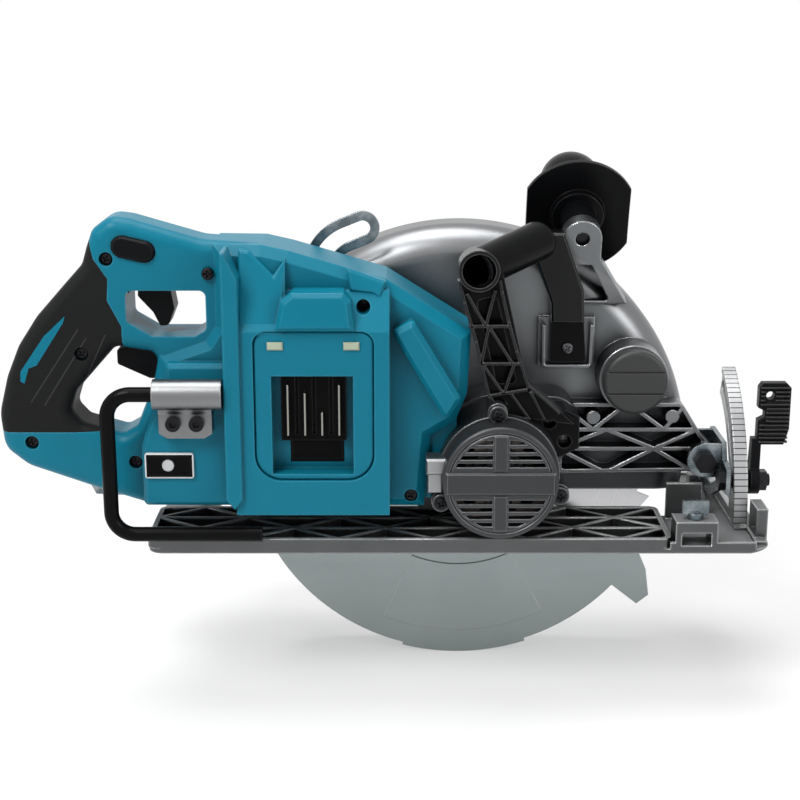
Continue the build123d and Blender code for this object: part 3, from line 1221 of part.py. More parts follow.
def knob_guard():
    """The hand guard: a shallow dish with two flats, on a raised ring round the knob's neck."""
    dish = turned_on_axis([
        (KNOB_NECK_R, DISC_AT), (KNOB_NECK_R, DISC_AT - 5), (KNOB_NECK_R + 5, DISC_AT - 5), (KNOB_NECK_R + 6, DISC_AT - 1),
        (DISC_R, DISC_AT - 4), (DISC_R, DISC_AT - 4 + DISC_T), (KNOB_NECK_R + 8, DISC_AT + DISC_T), (KNOB_NECK_R, DISC_AT + DISC_T),
    ])
    dish &= extrude(on_knob_axis() * Rectangle(2 * DISC_HALF, 3 * DISC_R), amount=80)
    return dish - rod(0, ARBOR_Z, CASE_R + 2, CASE_FAR, CASE_NEAR)


def knob_bolt():
    shaft = extrude(on_knob_axis() * Circle(KNOB_BOLT_R), amount=44)
    return shaft + extrude(eye_plane() * Circle(KNOB_BOLT_R), amount=2)


NODES = {
    "blade_case": blade_case,
    "dust_cap": dust_cap,
    "lower_guard": lower_guard,
    "guard_spring": guard_spring,
    "saw_blade": saw_blade,
    "inner_flange": inner_flange,
    "outer_flange": outer_flange,
    "blade_bolt": blade_bolt,
    "spindle": spindle,
    "drive_gear": drive_gear,
    "pinion": pinion,
    "bearing_box": bearing_box,
    "spindle_ball_bearing": ball_bearing,
    "spindle_needle_bearing": needle_bearing,
    "gear_housing": gear_housing,
    "motor_bearings": motor_bearings,
    "rotor": rotor,
    "stator": stator,
    "cooling_fan": cooling_fan,
    "motor_housing": motor_housing,
    "motor_end_cover": motor_end_cover,
    "cover_screws": cover_screws,
    "housing_near": housing_near,
    "housing_far": housing_far,
    "grip_near": grip_near,
    "grip_far": grip_far,
    "housing_screws": housing_screws,
    "trigger": trigger,
    "lock_off_button": lock_off_button,
    "trigger_switch": trigger_switch,
    "motor_controller": motor_controller,
    "slot_lid": slot_lid,
    "battery_mount": battery_mount,
    "port_bumpers": port_bumpers,
    "terminal_block": terminal_block,
    "terminal_blades": terminal_blades,
    "panel_frame": panel_frame,
    "mode_panel": mode_panel,
    "mode_button": mode_button,
    "hook_bracket": hook_bracket,
    "bracket_bolts": bracket_bolts,
    "hook": hook,
    "depth_guide": depth_guide,
    "depth_clamp_bolt": depth_clamp_bolt,
    "depth_lever": depth_lever,
    "front_bracket": front_bracket,
    "depth_pivot_bolt": depth_pivot_bolt,
    "bevel_guide": bevel_guide,
    "bevel_clamp_bolt": bevel_clamp_bolt,
    "bevel_lever": bevel_lever,
    "base_plate": base_plate,
    "bevel_pins": bevel_pins,
    "fence_screw": fence_screw,
    "front_grip": front_grip,
    "front_grip_screws": front_grip_screws,
    "front_knob": front_knob,
    "knob_guard": knob_guard,
    "knob_bolt": knob_bolt,
}

os.makedirs("parts", exist_ok=True)
for name, make in NODES.items():
    export_step(make(), f"parts/{name}.step")
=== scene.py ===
from math import radians

import bpy
import numpy as np
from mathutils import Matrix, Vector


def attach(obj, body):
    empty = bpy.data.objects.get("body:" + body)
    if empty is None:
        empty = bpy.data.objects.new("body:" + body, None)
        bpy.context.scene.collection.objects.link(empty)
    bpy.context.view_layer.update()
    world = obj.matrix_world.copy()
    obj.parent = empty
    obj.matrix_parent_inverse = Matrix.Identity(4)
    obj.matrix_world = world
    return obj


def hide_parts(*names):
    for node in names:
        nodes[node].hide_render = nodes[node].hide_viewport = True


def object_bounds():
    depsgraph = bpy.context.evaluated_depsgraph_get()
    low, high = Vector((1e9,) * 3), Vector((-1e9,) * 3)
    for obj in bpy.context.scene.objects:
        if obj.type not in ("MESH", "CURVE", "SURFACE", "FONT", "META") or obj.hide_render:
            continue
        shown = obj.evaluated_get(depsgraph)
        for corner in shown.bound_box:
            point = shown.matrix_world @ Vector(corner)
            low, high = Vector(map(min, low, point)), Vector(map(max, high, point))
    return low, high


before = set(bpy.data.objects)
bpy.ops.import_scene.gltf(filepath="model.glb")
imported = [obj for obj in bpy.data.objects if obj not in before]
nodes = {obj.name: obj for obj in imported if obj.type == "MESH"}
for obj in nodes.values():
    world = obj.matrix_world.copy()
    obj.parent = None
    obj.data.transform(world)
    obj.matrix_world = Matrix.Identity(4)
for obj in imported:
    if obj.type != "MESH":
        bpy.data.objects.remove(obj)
cad_box = [list(corner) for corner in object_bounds()]


# Blade case. A pressure die casting in light alloy, tumbled after casting, with flat walls of a dark satin
# grey.
# The shoulder round its rim is painted bright as a highlight, its edges are paler from wear and a painted
# highlight, and its pockets are painted dark as shade.

class Term:
    """A socket of a material's node tree. Arithmetic on a Term adds Math nodes, and node adds any other."""

    def __init__(self, tree, socket=None):
        self.tree = tree
        self.socket = socket

    def node(self, kind, settings, sockets, out=0):
        """Adds a node of this kind: its settings come first, then the values or links of its sockets."""
        made = self.tree.nodes.new("ShaderNode" + kind)
        for key, value in settings.items():
            setattr(made, key, value)
        for key, value in sockets.items():
            if isinstance(value, Term):
                self.tree.links.new(value.socket, made.inputs[key])
            else:
                made.inputs[key].default_value = value
        return Term(self.tree, made.outputs[out])

    def maths(self, operation, first, second):
        """A Math node on two values, each a Term or a number."""
        return self.node("Math", {"operation": operation}, {0: first, 1: second})

    def __add__(self, other):
        return self.maths("ADD", self, other)

    def __sub__(self, other):
        return self.maths("SUBTRACT", self, other)

    def __rsub__(self, other):
        return self.maths("SUBTRACT", other, self)

    def __mul__(self, other):
        return self.maths("MULTIPLY", self, other)

    def __gt__(self, other):
        return self.maths("GREATER_THAN", self, other)

    def __lt__(self, other):
        return self.maths("LESS_THAN", self, other)

    __radd__ = __add__
    __rmul__ = __mul__

    def held(self):
        """This value kept between 0 and 1."""
        return self.node("Clamp", {}, {"Value": self})

    def between(self, first, second):
        """A colour that runs from the first to the second as this value runs from 0 to 1.

        The Mix node's sockets are taken by number, because it has several of the same name.
        """
        factor = 0
        colour_a = 6
        colour_b = 7
        mixed = 2
        pair = {factor: self}
        for key, colour in ((colour_a, first), (colour_b, second)):
            pair[key] = colour if isinstance(colour, Term) else (*colour, 1.0)
        return self.node("Mix", {"data_type": "RGBA"}, pair, mixed)

    def ring(self, centre):
        """The distance in metres of these object coordinates from a line along Y through the centre."""
        offset = self.node("VectorMath", {"operation": "SUBTRACT"}, {0: self, 1: centre})
        flat = self.node("VectorMath", {"operation": "MULTIPLY"}, {0: offset, 1: (1.0, 0.0, 1.0)})
        return flat.length()

    def length(self):
        """The length of this vector."""
        return self.node("VectorMath", {"operation": "LENGTH"}, {0: self}, "Value")

    def axis(self, letter):
        """One of these object coordinates in metres: X, Y or Z."""
        return self.node("SeparateXYZ", {}, {0: self}, letter)


def begin(name, metallic=0.0, specular=0.5):
    """A new material with its shader, and a Term that holds the object coordinates."""
    material = bpy.data.materials.new(name)
    material.use_nodes = True
    shader = material.node_tree.nodes["Principled BSDF"]
    shader.inputs["Metallic"].default_value = metallic
    shader.inputs["Specular IOR Level"].default_value = specular
    place = Term(material.node_tree).node("TexCoord", {}, {}, "Object")
    return material, shader, place


def noise(place, scale, detail=2.0, stretch=None):
    """A soft random value about 0.5. Stretch scales X, Y and Z, for a grain that runs one way."""
    if stretch:
        place = place.node("Mapping", {}, {"Vector": place, "Scale": stretch})
    return place.node("TexNoise", {}, {"Vector": place, "Scale": scale, "Detail": detail})


def casting_skin(place):
    """Two Terms of a casting's skin: slow clouds of tone and a fine grain."""
    return noise(place, 45.0, 4.0), noise(place, 1500.0)


# The edge mask below lightens the colour along edges in most materials: partly wear, partly a painted
# highlight.
def rounded_edges(place, radius):
    """Two Terms: the normal with its edges rounded by radius, and how near a point is to an edge, 0 to 1.

    The second is the gain times (1 - r . n), with r the rounded normal and n the surface's own.
    """
    gain = 3.0
    rounded = place.node("Bevel", {"samples": 4}, {"Radius": radius})
    flat = place.node("NewGeometry", {}, {}, "Normal")
    agree = place.node("VectorMath", {"operation": "DOT_PRODUCT"}, {0: rounded, 1: flat}, "Value")
    return rounded, ((1 - agree) * gain).held()


def open_air(place, reach):
    """How open a point is within reach metres, from 0 deep in a hollow or corner to 1 on an open face: the
    mask for painted shade.
    """
    shut = 0.3
    gain = 1.7
    settings = {"samples": 4, "only_local": True}
    seen = place.node("AmbientOcclusion", settings, {"Distance": reach}, "AO")
    return ((seen - shut) * gain).held()


def join(shader, place, colour, rough, height, depth, normal):
    """Links the colour, the roughness and a bump of this depth in metres to the shader."""
    links = place.tree.links
    bump = place.node("Bump", {}, {"Strength": 1.0, "Distance": depth, "Height": height, "Normal": normal})
    for key, value in (("Base Color", colour), ("Roughness", rough), ("Normal", bump)):
        links.new(value.socket, shader.inputs[key])


def dress(material, *names):
    """Gives these nodes or pieces the material in every slot."""
    for item in names:
        piece = nodes[item] if isinstance(item, str) else item
        piece.data.materials.clear()
        piece.data.materials.append(material)


arbor = (0.0, 0.0, 0.038)


def tumbled_case():
    """Tumbled casting: cloudy dark walls, a painted highlight on the shoulder, edges paler from wear and a
    painted highlight, and painted shade in the pockets.

    The painted highlight of the shoulder lies between two distances from the arbor's line, in metres, with
    crisp borders.
    """
    shoulder_inner = 0.1345
    shoulder_outer = 0.1525
    crisp = 900.0
    bright = (0.66, 0.67, 0.68)
    painted_pocket_shade = (0.008, 0.008, 0.009)
    material, shader, place = begin("case_alloy", metallic=1.0)
    rounded, edge = rounded_edges(place, 0.0014)
    cloud, grain = casting_skin(place)
    wall = cloud.between((0.125, 0.133, 0.138), (0.172, 0.181, 0.187))
    # The shoulder band gets a paler colour than the wall: a painted highlight.
    painted_shoulder_highlight = cloud.between((0.16, 0.165, 0.17), (0.21, 0.215, 0.22))
    radius = place.ring(arbor)
    painted_highlight_band = ((radius - shoulder_inner) * crisp).held() * ((shoulder_outer - radius) * crisp).held()
    clean = edge.between(painted_highlight_band.between(wall, painted_shoulder_highlight), bright)
    # Hollows are mixed towards near black: painted shade.
    colour = open_air(place, 0.014).between(painted_pocket_shade, clean)
    rough = 0.32 + 0.12 * (grain - 0.5) - 0.12 * edge
    join(shader, place, colour, rough, grain, 0.00005, rounded)
    return material


case_alloy = tumbled_case()
dress(case_alloy, "blade_case")


# Gear housing and bearing box. The same alloy as the blade case, as cast: an even grey with a blasted grain,
# edges a little paler from wear and a painted highlight, and painted shade in the pockets.

def toned(colour, factor):
    """This colour times a factor, at most 1."""
    return [min(1.0, factor * part) for part in colour]


def cast_alloy(name, dark, light, bright, rough):
    """Blasted casting: a cloudy grey, a fine grain, edges paler from wear and a painted highlight, and
    painted shade in the pockets.
    """
    material, shader, place = begin(name, metallic=1.0)
    rounded, edge = rounded_edges(place, 0.0012)
    cloud, grain = casting_skin(place)
    clean = edge.between(cloud.between(dark, light), bright)
    # Hollows go towards a much darker grey: painted shade.
    colour = open_air(place, 0.012).between(toned(dark, 0.12), clean)
    join(shader, place, colour, rough + 0.14 * (grain - 0.5) - 0.08 * edge, grain, 0.00005, rounded)
    return material


box_alloy = cast_alloy("box_alloy", dark=(0.15, 0.155, 0.16), light=(0.20, 0.205, 0.21),
                       bright=(0.5, 0.5, 0.5), rough=0.34)
dress(box_alloy, "bearing_box")
gear_alloy = cast_alloy("gear_alloy", dark=(0.07, 0.073, 0.076), light=(0.10, 0.103, 0.106),
                        bright=(0.3, 0.3, 0.3), rough=0.4)
dress(gear_alloy, "gear_housing")


# Blade, flanges, arbor, gears and bearings. The blade is a ground steel plate, whose grinding leaves fine
# rings about the bore; the flanges, arbor, gears and bearings are turned or ground steel.

def ground_steel(name, colour, rough, centre=None):
    """Ground steel: bands of roughness that follow circles about the centre, or a plain fine grain."""
    fine = 900.0
    material, shader, place = begin(name, metallic=1.0)
    rounded, edge = rounded_edges(place, 0.0005)
    if centre:
        spun = place.node("CombineXYZ", {}, {"X": place.ring(centre)})
        grind = noise(spun, fine, 3.0)
    else:
        grind = noise(place, fine)
    tint = noise(place, 30.0).between(toned(colour, 0.9), colour)
    # Edges are made paler, partly as wear and partly as a painted highlight.
    bare = edge.between(tint, toned(colour, 1.3))
    join(shader, place, bare, rough + 0.2 * (grind - 0.5), grind, 0.00002, rounded)
    return material


dress(ground_steel("blade_steel", (0.52, 0.52, 0.53), rough=0.3, centre=arbor), "saw_blade")
plain_steel = ground_steel("plain_steel", (0.45, 0.45, 0.46), rough=0.32)
dress(plain_steel, "inner_flange", "outer_flange", "spindle", "drive_gear", "pinion")
dress(plain_steel, "spindle_ball_bearing", "spindle_needle_bearing", "guard_spring")
black_screw = ground_steel("black_screw", (0.022, 0.022, 0.024), rough=0.36)
dress(black_screw, "blade_bolt")


# Lower guard. A thin casting that swings round the arbor; it is blasted and anodised a cool greenish grey,
# with a faint brushed grain from front to rear and edges paler from wear and a painted highlight.

def anodised_guard():
    """Anodised alloy: a cool grey with streaks that run along X."""
    along_x = (0.12, 1.0, 1.0)
    pale = (0.50, 0.53, 0.53)
    material, shader, place = begin("anodised_guard", metallic=1.0)
    rounded, edge = rounded_edges(place, 0.001)
    streak = noise(place, 160.0, 3.0, along_x)
    tint = noise(place, 18.0).between((0.235, 0.270, 0.268), (0.285, 0.322, 0.320))
    rough = 0.36 + 0.18 * (streak - 0.5) - 0.08 * edge
    # Edges go towards a pale grey: partly wear, partly a painted highlight.
    join(shader, place, edge.between(tint, pale), rough, streak, 0.00003, rounded)
    return material


dress(anodised_guard(), "lower_guard")


# Motor. The rotor and its bearings are ground steel and the stator is a lacquered lamination pack; the fan
# is moulded on the shaft.

dress(plain_steel, "motor_bearings", "rotor")
dress(ground_steel("core_steel", (0.25, 0.22, 0.2), rough=0.5), "stator")


def moulded(name, colour, rough, grain, depth, edge_wear_and_highlight, radius=0.0012, specular=0.1, glint=0.5):
    """Moulded plastic or rubber: painted shade that darkens the colour in corners, a pebbled grain, edges
    painted paler as wear and a highlight, and a coat on the edges that glints.
    """
    material, shader, place = begin(name, specular=specular)
    rounded, edge = rounded_edges(place, radius)
    pebble = noise(place, grain)
    tint = noise(place, 25.0).between(toned(colour, 0.93), toned(colour, 1.06))
    # Corners go to under half the colour as painted shade; edges go towards a paler colour, partly wear and
    # partly a painted highlight.
    full = open_air(place, 0.010).between(toned(colour, 0.45), edge.between(tint, edge_wear_and_highlight))
    shader.inputs["Coat Roughness"].default_value = 0.16
    place.tree.links.new((edge * glint).socket, shader.inputs["Coat Weight"])
    join(shader, place, full, rough + 0.14 * (pebble - 0.5), pebble, depth, rounded)
    return material


black_nylon = moulded("black_nylon", (0.0042, 0.0044, 0.0050), rough=0.34, grain=1900.0, depth=0.00004,
                      edge_wear_and_highlight=(0.02, 0.02, 0.022), specular=0.06)
dress(black_nylon, "cooling_fan")


# Motor housing and its end cover. Graphite paint with a metal lustre over a fine grain; the cover is held by
# its screws and its louvres let the motor's air in. Their edges are painted paler as a highlight, and their
# pockets are painted dark as shade.

def graphite_paint():
    """Graphite paint: a dark grey that drifts a little, a fine grain, a painted highlight on the edges and
    painted shade in the pockets.
    """
    painted_edge_highlight = (0.36, 0.37, 0.38)
    painted_pocket_shade = (0.014, 0.014, 0.015)
    material, shader, place = begin("graphite_paint", metallic=0.7)
    rounded, edge = rounded_edges(place, 0.0011)
    grain = noise(place, 1900.0)
    coat = noise(place, 25.0).between((0.036, 0.038, 0.040), (0.046, 0.048, 0.050))
    # Edges go towards a pale grey as a painted highlight, and hollows towards near black as painted shade.
    colour = open_air(place, 0.010).between(painted_pocket_shade, edge.between(coat, painted_edge_highlight))
    join(shader, place, colour, 0.36 + 0.12 * (grain - 0.5) - 0.1 * edge, grain, 0.00004, rounded)
    return material


graphite = graphite_paint()
dress(graphite, "motor_end_cover", "motor_housing")

# The sizes of the new pieces are in millimetres, and their meshes are in metres.
mm = 0.001


def fitted(name, forms, material, body):
    """Makes one piece of these forms, gives it the material and fixes it to the body.

    A form is an array of points in millimetres with blocks of faces, each an array of corner numbers.
    """
    points = np.concatenate([spots for spots, blocks in forms])
    faces = []
    start = 0
    for spots, blocks in forms:
        for block in blocks:
            faces += (start + block).tolist()
        start += len(spots)
    mesh = bpy.data.meshes.new(name)
    mesh.from_pydata((mm * points).tolist(), [], faces)
    piece = bpy.data.objects.new(name, mesh)
    bpy.context.scene.collection.objects.link(piece)
    dress(material, piece)
    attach(piece, body)
    return piece


def cross_screws(node, places, material):
    """Pan head screws along Y, each at an X, a Z, its seat and its far end, in millimetres.

    A profile of radius and height is carried round each axis: the crown's height falls with the square of the
    radius, then come the rim and the shank. With u and v along the cross's two arms, the crown is sunk where
    min(|u|, |v|) is under the cross's half width and max(|u|, |v|) under its reach.
    """
    head = 3.8
    thick = 2.6
    shank = 2.0
    half_width = 0.6
    reach = 2.2
    sunk = 1.5
    soft = 0.2
    twist = 0.5
    sharp = 0.6
    around = 60
    crown = np.linspace(0.05, 0.9, 18)
    radius = np.concatenate([crown * head, [0.97 * head, head, head, shank, shank]])[:, None]
    turn = np.linspace(0.0, 2.0 * np.pi, around, endpoint=False)
    row = np.arange(len(radius) - 1)[:, None] * around
    here = np.arange(around)
    after = (here + 1) % around
    corners = [row + here, row + around + here, row + around + after, row + after]
    wall = np.stack(corners, -1).reshape(-1, 4)
    last = around * (len(radius) - 1)
    top = last + around
    foot = top + 1
    crown_cap = np.stack([np.full(around, top), here, after], -1)
    foot_cap = np.stack([last + here, np.full(around, foot), last + after], -1)
    forms = []
    for count, (x, z, seat, far) in enumerate(places):
        brim = [0.6 * thick, 0.4 * thick, 0.0, 0.0, seat - far]
        rise = np.concatenate([thick * (1.0 - 0.3 * crown ** 2), brim])[:, None]
        u = abs(radius * np.cos(turn + twist * count))
        v = abs(radius * np.sin(turn + twist * count))
        inside = np.clip((half_width - np.minimum(u, v)) / soft, 0.0, 1.0)
        inside = inside * np.clip((reach - np.maximum(u, v)) / soft, 0.0, 1.0)
        depth = seat - rise + sunk * inside
        skin = np.stack([x + radius * np.cos(turn), depth, z + radius * np.sin(turn)], -1)
        ends = [(x, seat - thick + sunk, z), (x, far, z)]
        forms.append((np.concatenate([skin.reshape(-1, 3), ends]), [wall, crown_cap, foot_cap]))
    piece = fitted("cross_" + node, forms, material, "saw_head")
    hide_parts(node)
    piece.data.shade_smooth()
    piece.data.set_sharp_from_angle(angle=sharp)


cover_seat = -105.0
cover_screw_end = -82.0
cover_places = [(58.65, 36.93), (-13.78, 32.5), (20.2, 87.96)]
cross_screws("cover_screws", [(x, z, cover_seat, cover_screw_end) for x, z in cover_places], black_screw)


# Housing halves. Glass-filled nylon, moulded in blue-green with a fine matt grain; a paler colour along the
# edges of its facets is a painted highlight, and its corners carry painted shade. The halves are screwed
# together.

blue_green = (0.0034, 0.140, 0.210)
nylon = moulded("blue_green_nylon", blue_green, rough=0.34, grain=2200.0, depth=0.00004,
                edge_wear_and_highlight=(0.020, 0.26, 0.37), radius=0.0016, specular=0.12)
dress(nylon, "housing_near", "housing_far")
body_seat = -91.0
handle_seat = -86.0
housing_screw_end = -59.0
body_places = [(-153.0, 171.6), (-60.4, 154.0), (-32.0, 34.0)]
handle_places = [(-201.0, 54.0), (-213.5, 180.0), (-231.0, 122.0), (-264.0, 66.5)]
housing_places = [(x, z, body_seat, housing_screw_end) for x, z in body_places]
housing_places += [(x, z, handle_seat, housing_screw_end) for x, z in handle_places]
cross_screws("housing_screws", housing_places, black_screw)


# Pads above the battery port. They are part of the near half's moulding: a notched block beside the spine, a
# sloped block at the front and a raised pad, with a deep recess between them.

def plate(outline, far, near, bevel, lean=0.0, level=0.0):
    """A flat form that faces the motor side, in millimetres: its points and its blocks of faces.

    The outline in X and Z is carried along Y in three rows: the far edge, the near edge less the bevel, and
    the near face, where each corner moves in by bevel (n1 + n2) / (1 + n1 . n2), with n1 and n2 the inward
    normals of its two sides. The near rows move by lean in Y for each millimetre of Z above the level.
    """
    flat = np.array(outline, float)
    after = np.roll(flat, -1, 0)
    double_area = np.sum(flat[:, 0] * after[:, 1] - after[:, 0] * flat[:, 1])
    if double_area < 0.0:
        flat = flat[::-1]
    side = np.roll(flat, -1, 0) - flat
    side = side / np.linalg.norm(side, axis=1)[:, None]
    inward = np.stack([-side[:, 1], side[:, 0]], -1)
    before = np.roll(inward, 1, 0)
    inset = flat + bevel * (inward + before) / (1.0 + np.sum(inward * before, 1))[:, None]
    slope = lean * (flat[:, 1] - level)
    depths = [np.full(len(flat), far), near + bevel + slope, near + slope]
    rows = [np.stack([row[:, 0], depth, row[:, 1]], -1) for row, depth in zip((flat, flat, inset), depths)]
    count = len(flat)
    here = np.arange(count)
    beside = np.roll(here, -1)
    walls = np.stack([here, beside, beside + count, here + count], -1)
    blocks = [here[None, ::-1], here[None] + 2 * count, walls, walls + count]
    return np.concatenate(rows), blocks


pad_far = -92.0
notched_block = [(-134, 138), (-106.5, 138), (-106.5, 181), (-113.5, 172), (-128, 186), (-134, 187)]
front_block = [(-68.5, 162.5), (-55, 161), (-50, 158), (-47, 168), (-70.4, 176)]
raised_pad = [(-112, 142), (-108.5, 159), (-102, 164), (-71.8, 164), (-67.5, 159), (-65.5, 142)]
pads = [plate(notched_block, pad_far, near=-113.0, bevel=1.5, lean=0.33, level=138.0)]
pads.append(plate(front_block, pad_far, near=-102.0, bevel=1.5, lean=0.25, level=155.0))
pads.append(plate(raised_pad, pad_far, near=-118.0, bevel=2.5, lean=0.12, level=142.0))
fitted("port_pads", pads, nylon, "saw_head")


# Relief of the motor's end cover, and its clip. The bare band across the cover and the bars above and below
# it stand a little proud; a cast clip at the rear side laps over the housing.

def rectangle(left, right, low, high):
    """The four corners of a rectangle."""
    return [(left, low), (right, low), (right, high), (left, high)]


def strut(start, end, width):
    """The outline of a straight rib of this width between two points in X and Z."""
    start = np.array(start, float)
    end = np.array(end, float)
    along = (end - start) / np.linalg.norm(end - start)
    across = 0.5 * width * np.array([-along[1], along[0]])
    return [start - across, end - across, end + across, start + across]


def ribs(lines, width, far, near, bevel):
    """A plate of this width along each straight run of the lines, which are rows of points in X and Z."""
    runs = [run for line in lines for run in zip(line, line[1:])]
    return [plate(strut(start, end, width), far, near, bevel) for start, end in runs]


motor_x = 21.56
motor_z = 48.99
cover_near = -118.0
relief_far = cover_near + 2.0
cover_band = rectangle(motor_x - 33.0, motor_x + 33.0, motor_z - 7.0, motor_z + 7.0)
bar_spans = [(-30.0, -7.5), (7.5, 30.0)]
bars = [[(motor_x, motor_z + low), (motor_x, motor_z + high)] for low, high in bar_spans]
relief = [plate(cover_band, relief_far, near=cover_near - 1.4, bevel=1.0)]
relief += ribs(bars, width=8.6, far=relief_far, near=cover_near - 0.7, bevel=0.6)
fitted("cover_relief", relief, graphite, "saw_head")
clip_alloy = cast_alloy("clip_alloy", dark=(0.26, 0.265, 0.27), light=(0.33, 0.335, 0.34),
                        bright=(0.7, 0.7, 0.7), rough=0.4)
clip_far = -92.0
clip_head = [(-23, 51), (-12.5, 51), (-10, 61), (-23, 61)]
clip_foot = rectangle(-22, -13, 39, 51.5)
clip_halves = [plate(clip_head, clip_far, near=-107.0, bevel=1.2)]
clip_halves.append(plate(clip_foot, clip_far, near=-105.5, bevel=0.8))
fitted("motor_clip", clip_halves, clip_alloy, "saw_head")


# Soft grip. Black elastomer moulded over the handle's core in two pads, with a matt, slightly pebbled skin.
# The near pad is moulded round a stripe of the housing's nylon and has three fine ridges.

elastomer = moulded("grip_elastomer", (0.0085, 0.0088, 0.0090), rough=0.50, grain=1300.0, depth=0.0001,
                    edge_wear_and_highlight=(0.014, 0.014, 0.015), glint=0.15)
dress(elastomer, "grip_far")


def reopened(material):
    """The shader of a finished material, its object coordinates and the Term that feeds its colour."""
    shader = material.node_tree.nodes["Principled BSDF"]
    place = Term(material.node_tree).node("TexCoord", {}, {}, "Object")
    colour = Term(material.node_tree, shader.inputs["Base Color"].links[0].from_socket)
    return shader, place, colour


def inlaid_grip():
    """The elastomer with a stripe and three ridges, each kept inside the straight sides of its outlines.

    A point x, z is inside where (x1 - x0)(z - z0) - (z1 - z0)(x - x0) is over 0 for every side of an outline.
    """
    ridge_width = 0.8
    ridge_grey = (0.030, 0.031, 0.032)
    material = elastomer.copy()
    material.name = "inlaid_grip"
    shader, place, rubber = reopened(material)
    across = place.axis("X")
    height = place.axis("Z")
    stripes = [[(-239.7, 145.4), (-253.0, 133.1), (-268.3, 111.3), (-258.3, 115.1), (-241.1, 141.1)]]
    stripes.append([(-268.3, 111.3), (-268.7, 105.1), (-266.3, 103.8), (-263.4, 113.2)])
    ridge_ends = [((-232.0, 137.7), (-263.0, 92.0))]
    ridge_ends.append(((-227.6, 132.0), (-255.0, 90.0)))
    ridge_ends.append(((-216.0, 134.0), (-237.0, 90.0)))
    ridges = [strut(start, end, ridge_width) for start, end in ridge_ends]

    def covered(outlines):
        """1 inside any of these outlines and 0 elsewhere."""
        total = 0.0
        for outline in outlines:
            within = 1.0
            for (x0, z0), (x1, z1) in zip(outline, outline[1:] + outline[:1]):
                rise = float(x1 - x0) * (height - mm * float(z0))
                run = float(z1 - z0) * (across - mm * float(x0))
                within = within * (rise - run > 0.0)
            total = total + within
        return total.held()

    lined = covered(ridges).between(rubber, ridge_grey)
    inlaid = covered(stripes).between(lined, blue_green)
    material.node_tree.links.new(inlaid.socket, shader.inputs["Base Color"])
    return material


dress(inlaid_grip(), "grip_near")


# Trigger, lock-off bar and lid, with the switch and the controller behind them. Black mouldings: the trigger
# and the lid are hinged, and the bar slides across the handle.

dress(black_nylon, "trigger", "lock_off_button", "slot_lid")
switch_case = moulded("switch_case", (0.02, 0.02, 0.022), rough=0.5, grain=1500.0, depth=0.00005,
                      edge_wear_and_highlight=(0.04, 0.04, 0.04))
dress(switch_case, "trigger_switch", "motor_controller")


# Battery port. The insert floats on two cream bumpers and is moulded in the housing's colour; the terminal
# block is black with tinned blades.

dress(nylon, "battery_mount")
cream_bumper = moulded("cream_bumper", (0.34, 0.38, 0.285), rough=0.5, grain=1200.0, depth=0.00005,
                       edge_wear_and_highlight=(0.42, 0.46, 0.36))
dress(cream_bumper, "port_bumpers")
block_black = (0.0022, 0.0022, 0.0024)
block_nylon = moulded("block_nylon", block_black, rough=0.4, grain=1900.0, depth=0.00004,
                      edge_wear_and_highlight=(0.008, 0.008, 0.008), specular=0.05)
dress(block_nylon, "terminal_block")
dress(ground_steel("tinned_blade", (0.34, 0.33, 0.30), rough=0.3), "terminal_blades")
block_foot = plate(rectangle(-105.5, -72.0, 57.0, 79.0), far=-90.0, near=-100.0, bevel=1.0)
block_face = plate(rectangle(-103.5, -74.0, 59.5, 74.5), far=-99.0, near=-100.6, bevel=0.4)
fitted("block_foot", [block_foot, block_face], block_nylon, "saw_head")


# Mode panel. A gloss black panel in a white frame, with a narrow lip inside the frame and one round pale
# button that is pressed inwards.

panel_black = moulded("panel_black", block_black, rough=0.22, grain=1900.0, depth=0.00002,
                      edge_wear_and_highlight=(0.006, 0.006, 0.006), specular=0.06)
dress(panel_black, "mode_panel")
panel_left = -192.1
panel_right = -164.4
panel_low = 49.3
panel_high = 63.2
lip_width = 1.6
half_lip = 0.5 * lip_width
lip_lines = [[(panel_left, z), (panel_right, z)] for z in (panel_low + half_lip, panel_high - half_lip)]
lip_lines += [[(x, panel_low), (x, panel_high)] for x in (panel_left + half_lip, panel_right - half_lip)]
lip = ribs(lip_lines, width=lip_width, far=-104.0, near=-105.4, bevel=0.2)
fitted("panel_lip", lip, panel_black, "saw_head")
white_frame = moulded("white_frame", (0.62, 0.64, 0.65), rough=0.35, grain=1500.0, depth=0.00003,
                      edge_wear_and_highlight=(0.7, 0.7, 0.7))
dress(white_frame, "panel_frame")
button_acetal = moulded("button_acetal", (0.42, 0.43, 0.44), rough=0.35, grain=1500.0, depth=0.00003,
                        edge_wear_and_highlight=(0.5, 0.5, 0.5))
dress(button_acetal, "mode_button")


# Hook and its bracket. The hook is bent steel rod with a glossy black coat; its bracket is a bright casting
# that two socket bolts hold to the housing.

hook_coat = moulded("hook_coat", (0.003, 0.003, 0.0033), rough=0.2, grain=900.0, depth=0.00002,
                    edge_wear_and_highlight=(0.006, 0.006, 0.006), specular=0.06)
dress(hook_coat, "hook")
bracket_alloy = cast_alloy("bracket_alloy", dark=(0.18, 0.185, 0.189), light=(0.23, 0.235, 0.239),
                           bright=(0.55, 0.55, 0.55), rough=0.34)
dress(bracket_alloy, "hook_bracket")
dress(black_screw, "bracket_bolts")


# Front grip, knob and cap. Glossy black nylon: the bar and its ribbed arm are one hollow moulding, a bolt
# holds the knob against its flange disc, and a graphite grey cap closes the port in the case's front boss.

